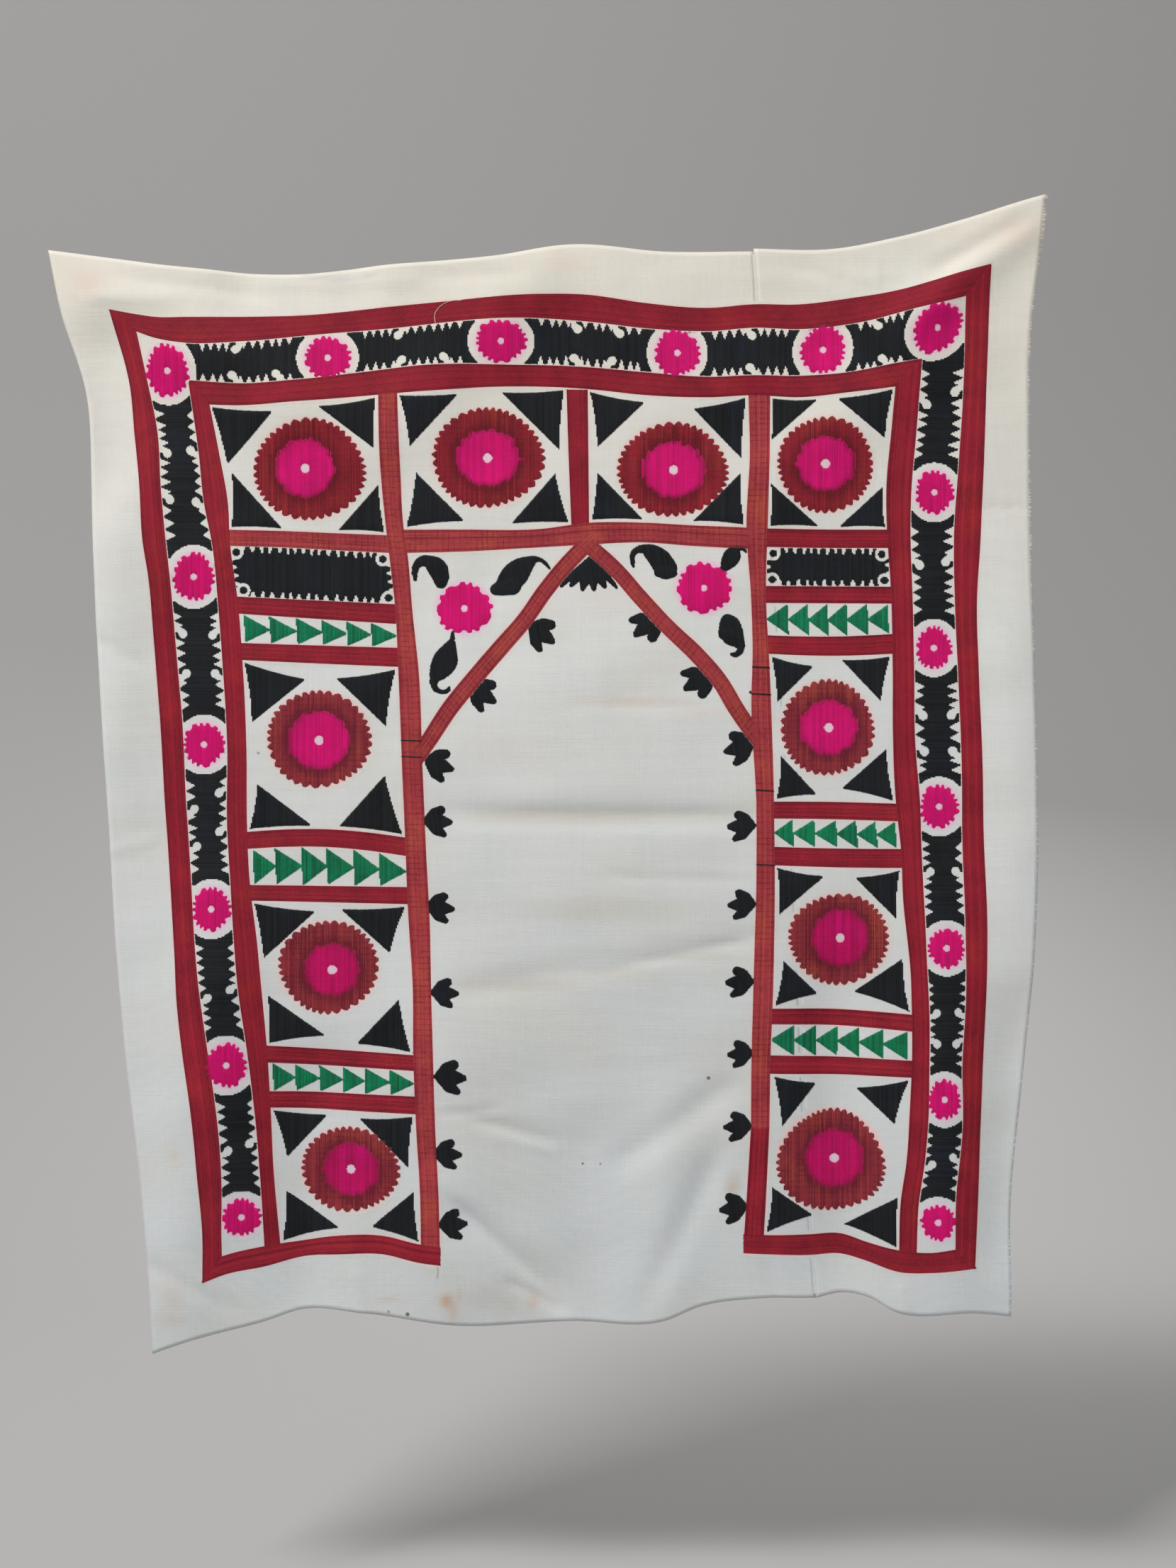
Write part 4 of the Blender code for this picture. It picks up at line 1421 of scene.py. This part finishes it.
def corner_points(field, index, corner):
    """The three points of a corner triangle, square corners numbered from the top left."""
    left, right, above, below = (BANDS[name] for name in field)
    beside, level = (left, right, right, left)[index], (above, above, below, below)[index]
    inward, inner_down = (1, -1, -1, 1)[index], (1, 1, -1, -1)[index]
    edge = beside.high if inward > 0 else beside.low
    rim = level.high if inner_down > 0 else level.low
    down_at = field_corners(field)[index][1]
    start_right = float(edge(down_at)) + inward * CORNER_GAP
    start = (start_right, float(rim(start_right)) + inner_down * CORNER_GAP)
    edge_right = start[0] + inward * corner.edge_leg
    side_down = start[1] + inner_down * corner.side_leg
    return (
        np.array(start),
        np.array([edge_right, float(rim(edge_right)) + inner_down * corner.edge_gap]),
        np.array([float(edge(side_down)) + inward * corner.side_gap, side_down]),
    )


def bowed_triangle(points):
    """A shape between three points, whose legs are slightly hollow."""

    def shape(x, d):
        inside = np.full(np.shape(x), FAR)
        bows = (CORNER_BOW, 0.0, CORNER_BOW)
        for here, there, third, bow in zip(points, points[1:] + points[:1], points[2:] + points[:2], bows):
            run = there - here
            length = np.hypot(*run)
            normal = np.array([-run[1], run[0]]) / length
            if normal @ (third - here) < 0:
                normal = -normal
            away = (x - here[0]) * normal[0] + (d - here[1]) * normal[1]
            share = ((x - here[0]) * run[0] + (d - here[1]) * run[1]) / length**2
            inside = np.minimum(inside, away - bow * np.sin(math.pi * np.clip(share, 0, 1)))
        return inside

    return shape


def add_squares():
    parts = []
    for name, field in SQUARES.items():
        for index, corner in enumerate(TRIANGLES[name]):
            points = corner_points(field, index, corner)
            parts.append(stitched_rows(bowed_triangle(points), points_box(points)))
    add_both("black_triangles", joined(parts), "black")


ARROWS = 6
ARROW_LENGTHS = (0.9, 1.1)
ARROW_HEIGHTS = (0.445, 0.485)
ARROW_LEAD = 0.03
ARROW_TIP = 1.06
ARROW_TAIL = 1.1
ARROW_INSET = 1.0


def add_arrows():
    parts = []
    for name, field in ARROW_STRIPS.items():
        sides = field_frame(field)
        points_right = name.startswith("left")
        lengths = RNG.uniform(*ARROW_LENGTHS, ARROWS)
        starts = np.concatenate([[0.0], np.cumsum(lengths)]) / lengths.sum()
        heights = RNG.uniform(*ARROW_HEIGHTS, ARROWS)

        def shape(x, d):
            left, right, above, below = sides(x, d)
            wide, high = left + right, above + below
            share, level = left / wide, above / high
            if not points_right:
                share = 1.0 - share
            share = share * (1 + ARROW_LEAD) - ARROW_LEAD
            inside = np.full(np.shape(x), -FAR)
            for index in range(ARROWS):
                part = (share - starts[index]) / (starts[index + 1] - starts[index])
                slope = heights[index] * (ARROW_TIP - part) * high
                one = np.minimum(slope - np.abs(level - 0.5) * high, part * wide / ARROWS)
                one = np.minimum(one, (ARROW_TAIL - part) * wide / ARROWS)
                inside = np.maximum(inside, one)
            within = np.minimum(np.minimum(left, right), np.minimum(above, below) - ARROW_INSET)
            return np.minimum(inside, within)

        parts.append(stitched_rows(shape, points_box(field_corners(field))))
    add_both("green_arrows", joined(parts), "green")


COMB_PITCH = 12.0
COMB_DEPTH = 8.5
COMB_SIDE_DEPTH = 5.5
COMB_WIDTH = 0.26
COMB_FLAT = 1.7
COMB_INSET = 0.5
RING_OUT = 10.0
RING_IN = 5.6
RING_INSET = 9.0


def comb(place, depth, pitch, duty):
    """How deep a comb's notches are at a place along its edge."""
    phase = (place / pitch) % 1.0
    return depth * np.clip(COMB_FLAT * (1.0 - np.abs(phase - 0.5) / duty), 0.0, 1.0)


def add_combs():
    parts = []
    for field in COMB_PANELS.values():
        sides = field_frame(field)
        corners = np.array(field_corners(field))
        middle = corners.mean(axis=0)
        rings = corners + np.sign(middle - corners) * RING_INSET

        def shape(x, d):
            left, right, above, below = sides(x, d)
            warp = 1.5 * np.sin(x * 0.06) + 1.0 * np.sin(x * 0.17)
            tall = COMB_DEPTH * (1.0 + 0.13 * np.sin(x * 0.19))
            inside = np.minimum(above, below) - COMB_INSET
            inside = np.minimum(inside, above - comb(x + warp, tall, COMB_PITCH, COMB_WIDTH))
            inside = np.minimum(inside, below - comb(x + warp + 5.0, tall, COMB_PITCH * 1.09, COMB_WIDTH))
            for side, at in ((left, d), (right, d + 3.0)):
                bite = comb(at, COMB_SIDE_DEPTH, COMB_PITCH, COMB_WIDTH)
                inside = np.minimum(inside, side - COMB_INSET - bite)
            for ring_x, ring_d in rings:
                away = np.hypot(x - ring_x, d - ring_d)
                inside = np.where(away < RING_OUT, RING_IN - away, inside)
            return inside

        parts.append(stitched_rows(shape, points_box(corners)))
    add_both("black_combs", joined(parts), "black")


NOTCH_PITCH_ACROSS = 12.0
NOTCH_PITCH_DOWN = 14.6
# How far notches stray: their place, height, width and lean.
NOTCH_SHIFT, NOTCH_TALL = (-1.0, 1.0), (0.95, 1.26)
NOTCH_WIDE, NOTCH_LEAN = (0.92, 1.05), (-0.25, 0.25)
NOTCH_FLAT = 1.12
STRIP_INSET = 1.0
STRIP_MARGIN = 2
STRIP_STATIONS = 20
OVAL_OVERLAP = 2
HORN = 4.2
HOOK_REACH = 20.0
HOOK_LEAST = 0.8
HOOK_GROWTH = 0.35
HOOK_FULL_DEPTH = 12

# Black strips between two flowers: where the hooks of white bite in on the low and the high
# side, how deep the notches between them are, and how much of their pitch each one fills.
Gap = namedtuple("Gap", "low_hooks high_hooks low_depth high_depth fill")
TOP_GAPS = (
    Gap((330,), (325, 387), 10, 9, 0.74),
    Gap((559,), (566, 624), 9, 9, 0.70),
    Gap((815, 875), (809, 864), 9, 11, 0.74),
    Gap((1063,), (1059,), 10, 10, 0.80),
    Gap((1241,), (1246,), 9, 9, 0.80),
)
LEFT_GAPS = (
    Gap((637, 703), (632, 705), 11, 8, 0.92),
    Gap((893, 949), (895, 949), 10, 11, 0.94),
    Gap((1141, 1194), (1119, 1174), 10, 9, 0.90),
    Gap((1407,), (1397,), 9, 8, 0.86),
    Gap((1623,), (1615,), 10, 8, 0.90),
)
RIGHT_GAPS = (
    Gap((568,), (550,), 11, 13, 0.96),
    Gap((796,), (791,), 10, 12, 0.94),
    Gap((1009, 1060), (1008, 1059), 11, 13, 0.96),
    Gap((1230,), (1229,), 9, 9, 0.88),
    Gap((1429, 1473), (1428, 1473), 6, 7, 0.60),
    Gap((1642,), (1632,), 6, 7, 0.60),
)
Strip = namedtuple("Strip", "low_side high_side down flowers gaps")
STRIPS = (
    Strip("outer top", "inner top", False, TOP_FLOWERS, TOP_GAPS),
    Strip("outer left", "inner left", True, (TOP_FLOWERS[0], *LEFT_FLOWERS), LEFT_GAPS),
    Strip("inner right", "outer right", True, (TOP_FLOWERS[-1], *RIGHT_FLOWERS), RIGHT_GAPS),
)
# A hook: beads from the band inward, each this deep and this far along, with its radius.
HOOK = ((1, 6, 3.6), (4, 5.5, 3.8), (7, 4, 4.2), (10, 1.5, 5.0), (10.5, 0, 5.4))


def flower_oval(x, d, flower):
    """How far inside the bare oval round a flower a point is."""
    across, along = turned(x, d, flower)
    reach = np.hypot(across / (flower.half_x + OVAL_MARGIN), along / (flower.half_d + OVAL_MARGIN))
    return (1.0 - reach) * (min(flower.half_x, flower.half_d) + OVAL_MARGIN)


def notch_row(at, start, end, hooks, depth, fill, usual, random):
    """How deep the notches of one side are: evenly spread between the ends and the hooks."""
    total = np.zeros_like(at)
    anchors = (start, *hooks, end)
    for here, there in zip(anchors, anchors[1:]):
        count = max(round((there - here) / usual), 1)
        pitch = (there - here) / count
        for index in range(1, count):
            middle = here + pitch * index + random.uniform(*NOTCH_SHIFT)
            tall = depth * random.uniform(*NOTCH_TALL)
            width = pitch * fill / 2 * random.uniform(*NOTCH_WIDE)
            lean = random.uniform(*NOTCH_LEAN)
            away = np.abs(at - middle - lean * width) / width
            total = np.maximum(total, tall * np.clip(NOTCH_FLAT * (1.0 - away), 0.0, 1.0))
    return total


def add_strips():
    """Black strips between the flowers, bitten by notches and hooks."""
    parts = []
    for strip in STRIPS:
        low_band, high_band = BANDS[strip.low_side], BANDS[strip.high_side]
        usual = NOTCH_PITCH_DOWN if strip.down else NOTCH_PITCH_ACROSS
        for before, after, gap in zip(strip.flowers, strip.flowers[1:], strip.gaps):
            centres = [flower.down if strip.down else flower.right for flower in (before, after)]
            halves = [flower.half_d if strip.down else flower.half_x for flower in (before, after)]
            start = centres[0] + halves[0] + OVAL_MARGIN - OVAL_OVERLAP
            end = centres[1] - halves[1] - OVAL_MARGIN + OVAL_OVERLAP
            seed = int(RNG.integers(1 << 30))
            leans = RNG.choice((-1, 1), 4)

            def shape(x, d):
                random = np.random.default_rng(seed)
                at, across = (d, x) if strip.down else (x, d)
                low, high = across - low_band.high(at), high_band.low(at) - across
                whole = np.minimum(low, high) - STRIP_INSET
                low_notch, high_notch = (
                    notch_row(at, start, end, hooks, depth, gap.fill, usual, random)
                    for hooks, depth in ((gap.low_hooks, gap.low_depth), (gap.high_hooks, gap.high_depth))
                )
                inside = np.minimum(whole, np.minimum(low - low_notch, high - high_notch) - STRIP_INSET)
                places = [(hook, 0) for hook in gap.low_hooks] + [(hook, 1) for hook in gap.high_hooks]
                for (hook_at, side), lean in zip(places, leans):
                    edge = float(high_band.low(hook_at)) if side else float(low_band.high(hook_at))
                    sign = -1 if side else 1
                    deepest = max(gap.low_depth, gap.high_depth)
                    size = deepest / HOOK_FULL_DEPTH * HOOK_GROWTH + HOOK_LEAST
                    beads = [
                        (hook_at + lean * aside * size, edge + sign * deep * size, radius * size)
                        for deep, aside, radius in HOOK
                    ]
                    if strip.down:
                        beads = [(down, right, radius) for right, down, radius in beads]
                    near = np.abs(at - hook_at) < HOOK_REACH
                    inside = np.where(near, np.minimum(inside, -chain(x, d, beads)), inside)
                for flower in (before, after):
                    oval = flower_oval(x, d, flower)
                    horn = np.minimum(np.minimum(-oval, oval + HORN), whole)
                    inside = np.maximum(np.minimum(inside, -oval), horn)
                return np.minimum(inside, np.minimum(at - centres[0], centres[1] - at))

            span = np.linspace(centres[0], centres[1], STRIP_STATIONS)
            low = low_band.high(span).min() - STRIP_MARGIN
            high = high_band.low(span).max() + STRIP_MARGIN
            if strip.down:
                parts.append(stitched_rows(shape, (low, high, centres[0], centres[1]), turn=0.0))
            else:
                parts.append(stitched_rows(shape, (centres[0], centres[1], low, high)))
    add_both("black_strips", joined(parts), "black")


def bead_box(beads):
    rows = np.array(beads)
    return points_box(np.concatenate([rows[:, :2] - rows[:, 2:], rows[:, :2] + rows[:, 2:]]))


LEAF_TURN = 82.0
LEAF_OVERLAP = 1.0
ARCH_NEAR = 12


def add_small_motifs():
    """Paisleys, leaves and buds. They stop where the bands that carry them begin."""
    groups = [spine_beads(rows) for rows in PAISLEYS.values()]
    groups += [sprig_beads(sprig, SPRIG_LOBES) for sprig in SPRIGS]
    groups.append(sprig_beads(FAN, FAN_LOBES))
    arch = np.array(arch_beads(ARCH_LEFT) + arch_beads(ARCH_RIGHT))
    left_band, right_bands = BANDS["light left"], (BANDS["light right"], BANDS["dark right"])
    parts = []
    for beads in groups:
        left, right, top, bottom = bead_box(beads)
        reach = np.hypot(arch[:, 0] - (left + right) / 2, arch[:, 1] - (top + bottom) / 2)
        close = arch[reach < (right - left) / 2 + (bottom - top) / 2 + ARCH_NEAR]

        def shape(x, d):
            inside = chain(x, d, beads)
            if len(close):
                inside = np.minimum(inside, -chain(x, d, close))
            inside = np.minimum(inside, x - left_band.high(d) + LEAF_OVERLAP)
            edge = np.where(d < right_bands[1].places[0], right_bands[0].low(d), right_bands[1].low(d))
            return np.minimum(inside, edge - x + LEAF_OVERLAP)

        parts.append(stitched_rows(shape, (left, right, top, bottom), turn=LEAF_TURN, pitch=FINE_PITCH))
    add_both("black_leaves", joined(parts), "black")


# The turning over the seam. Its section gives shares of its half width and of its height.
SEAM_HALF = 2.2
SEAM_PROUD = 0.00016
SEAM_STEPS = 220
SEAM_INSET = 0.004
SEAM_SECTION = ((-1.0, 0.4), (-0.5, 1.0), (0.0, 0.55), (0.5, 1.0), (1.0, 0.4))


def add_seam():
    """The narrow turning that covers the join of the two widths, on both faces."""
    rows = smooth_line(SEAM_LINE, np.linspace(SEAM_INSET, 1 - SEAM_INSET, SEAM_STEPS))
    x, z = rows[:, 0], rows[:, 1]
    for name, side in (("seam_turning", 1), ("seam_turning_reverse", -1)):
        lines = []
        for shift, lift in SEAM_SECTION:
            height = side * (CLOTH_THICKNESS / 2 + SEAM_PROUD * lift)
            lines.append(on_cloth(x + shift * SEAM_HALF * MM, z, np.full(len(x), height)))
        shape = new_shape()
        lay_lines(shape, np.stack(lines))
        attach(finished_piece(name, shape, COTTON, side), "root")


# Dark threads that cross a band: how far down, and how wide.
CrossLine = namedtuple("CrossLine", "band down width")
CROSS_LINES = (
    CrossLine("light right", 940, 2.6), CrossLine("light right", 978, 2.0),
    CrossLine("light right", 1115, 1.8), CrossLine("light right", 1220, 1.6),
    CrossLine("light left", 1044, 1.8), CrossLine("light left", 1067, 1.6),
)
CROSS_REACH = 0.5
CROSS_LEAN = 1.2
CROSS_LIFT = 0.0005
# Threads that hang loose: their points, as places in the drawing.
LOOSE_THREADS = (
    ((613, 452), (612, 440), (620, 428), (634, 421), (650, 420)),
    ((617, 1783), (618, 1791), (617, 1801)),
)
LOOSE_HALF = 0.40
LOOSE_STEPS = 14
LOOSE_LIFT = 0.0006
# Fraying of the right selvedge: where it starts and ends, the usual gap and the longest thread.
Fray = namedtuple("Fray", "start end gap longest")
FRAYS = (
    Fray(0.00, 0.05, 2.2, 3.2), Fray(0.05, 0.25, 8.0, 1.4), Fray(0.25, 0.32, 3.2, 2.0),
    Fray(0.32, 0.93, 10.0, 1.2), Fray(0.93, 1.00, 2.6, 2.8),
)
FRAY_HALF = 0.50
FRAY_ROOT = 3.0
FRAY_REACH = (0.4, 1.0)
FRAY_SAG = (-0.8, 1.4)
SELVEDGE_LENGTH = 1590.0


def add_cross_lines():
    parts = []
    for line in CROSS_LINES:
        band = BANDS[line.band]
        start = np.array([[float(band.low(line.down)) - CROSS_REACH, line.down]])
        end = np.array([[float(band.high(line.down)) + CROSS_REACH, line.down + CROSS_LEAN]])
        parts.append(straight_runs(start, end, line.width / 2))
    add_front_rows("dark_cross_threads", joined(parts), THREADS["black"], CROSS_LIFT)


def add_loose_threads():
    parts = []
    for thread in LOOSE_THREADS:
        bends = [Bend(right, down, 2 * LOOSE_HALF) for right, down in thread]
        parts.append(curved_runs(*ribbon_lines(bends, LOOSE_STEPS), 1))
    add_front_rows("loose_threads", joined(parts), THREADS["cream"], LOOSE_LIFT)


def add_fray():
    """Short ends of weft that stick out of the right selvedge."""
    starts, ends = [], []
    for fray in FRAYS:
        count = int((fray.end - fray.start) * SELVEDGE_LENGTH / fray.gap)
        shares = np.sort(RNG.uniform(fray.start, fray.end, count))
        edge = smooth_line(RIGHT_EDGE, shares) / MM
        right, down = edge[:, 0] + DRAWING_HOLD_RIGHT, DRAWING_HOLD_DOWN - edge[:, 1]
        reach = fray.longest * RNG.uniform(*FRAY_REACH, count)
        sag = RNG.uniform(*FRAY_SAG, count)
        starts.append(np.stack([right - FRAY_ROOT, down], -1))
        ends.append(np.stack([right + reach, down + sag], -1))
    runs = straight_runs(np.concatenate(starts), np.concatenate(ends), FRAY_HALF)
    add_front_rows("frayed_threads", runs, COTTON, -CLOTH_THICKNESS / 2)


# Small specks of dirt on the cloth.
Speck = namedtuple("Speck", "right down radius strength")
SPECKS = (
    Speck(822, 1644, 2.2, 0.7), Speck(847, 1644, 1.8, 0.6), Speck(1000, 1522, 3.0, 0.8),
    Speck(548, 1851, 2.2, 0.6), Speck(575, 1854, 3.6, 0.8), Speck(1060, 976, 3.0, 1.0),
    Speck(362, 1062, 2.4, 0.5),
)
SPECK_CORE = 0.6


def add_specks():
    films = []
    for speck in SPECKS:
        share = speck.strength
        steps = ((0.0, share), (speck.radius * SPECK_CORE, share), (speck.radius, 0.0))
        films.append(ring_bleed(speck.right, speck.down, 0.0, 0.0, steps))
    add_bleed("specks", films, SPECK_FILM)


# The backdrop, in metres: a floor that sweeps up into a wall behind the cloth.
FLOOR_LEVEL = -1.93
SWEEP_FRONT = 1.6
SWEEP_RADIUS = 3.0
SWEEP_REACH = 16.0
SWEEP_STEPS = 24
BACKDROP_GREY = (0.42, 0.415, 0.41, 1.0)
ROOM_GREY = (0.36, 0.365, 0.37, 1.0)
ROOM_STRENGTH = 0.85


def add_camera():
    camera = bpy.data.cameras.new("camera")
    camera.sensor_width = 36.0
    camera.lens = 36.0 * 2.8 / 2.212
    view = bpy.data.objects.new("camera", camera)
    view.location = (0.0295, -2.815, -0.765)
    view.rotation_euler = (math.radians(90), 0.0, 0.0)
    bpy.context.scene.collection.objects.link(view)
    bpy.context.scene.camera = view


def add_light(name, place, target, size, power, colour):
    lamp = bpy.data.lights.new(name, "AREA")
    lamp.shape, lamp.size, lamp.size_y = "RECTANGLE", size[0], size[1]
    lamp.energy, lamp.color = power, colour
    light = bpy.data.objects.new(name, lamp)
    light.location = place
    way = np.array(target) - np.array(place)
    light.rotation_euler = (
        math.acos(-way[2] / np.linalg.norm(way)),
        0.0,
        math.atan2(way[1], way[0]) - math.pi / 2,
    )
    bpy.context.scene.collection.objects.link(light)


def add_setting():
    world = bpy.data.worlds.new("studio")
    world.use_nodes = True
    background = world.node_tree.nodes["Background"]
    background.inputs["Color"].default_value = ROOM_GREY
    background.inputs["Strength"].default_value = ROOM_STRENGTH
    bpy.context.scene.world = world
    add_light("key", (-4.0, -4.2, 5.6), (0.0, 0.0, -0.7), (2.6, 2.2), 650, (1.0, 0.985, 0.965))
    add_light("fill", (2.8, -3.4, -1.0), (0.0, 0.0, -1.0), (2.2, 2.2), 22, (0.95, 0.98, 1.0))
    add_light("rear", (0.6, 3.2, 0.9), (0.0, 0.0, -0.8), (2.4, 1.8), 60, (1.0, 1.0, 1.0))
    profile = [(-SWEEP_REACH, 0.0), (SWEEP_FRONT, 0.0)]
    for index in range(1, SWEEP_STEPS + 1):
        turn = math.pi / 2 * index / SWEEP_STEPS
        profile.append((SWEEP_FRONT + SWEEP_RADIUS * math.sin(turn), SWEEP_RADIUS * (1 - math.cos(turn))))
    profile.append((SWEEP_FRONT + SWEEP_RADIUS, SWEEP_REACH))
    lines = [[(side * SWEEP_REACH, depth, FLOOR_LEVEL + up) for depth, up in profile] for side in (-1, 1)]
    shape = new_shape()
    lay_lines(shape, np.array(lines))
    material, _, shader = new_material("backdrop", 0.9)
    shader.inputs["Base Color"].default_value = BACKDROP_GREY
    finished_piece("backdrop", shape, material)


add_camera()
add_cloth()
add_bands()
add_flowers(add_rosettes())
add_squares()
add_arrows()
add_combs()
add_strips()
add_small_motifs()
add_seam()
add_cross_lines()
add_loose_threads()
add_fray()
add_specks()
add_setting()
bpy.context.scene.view_settings.view_transform = "Standard"
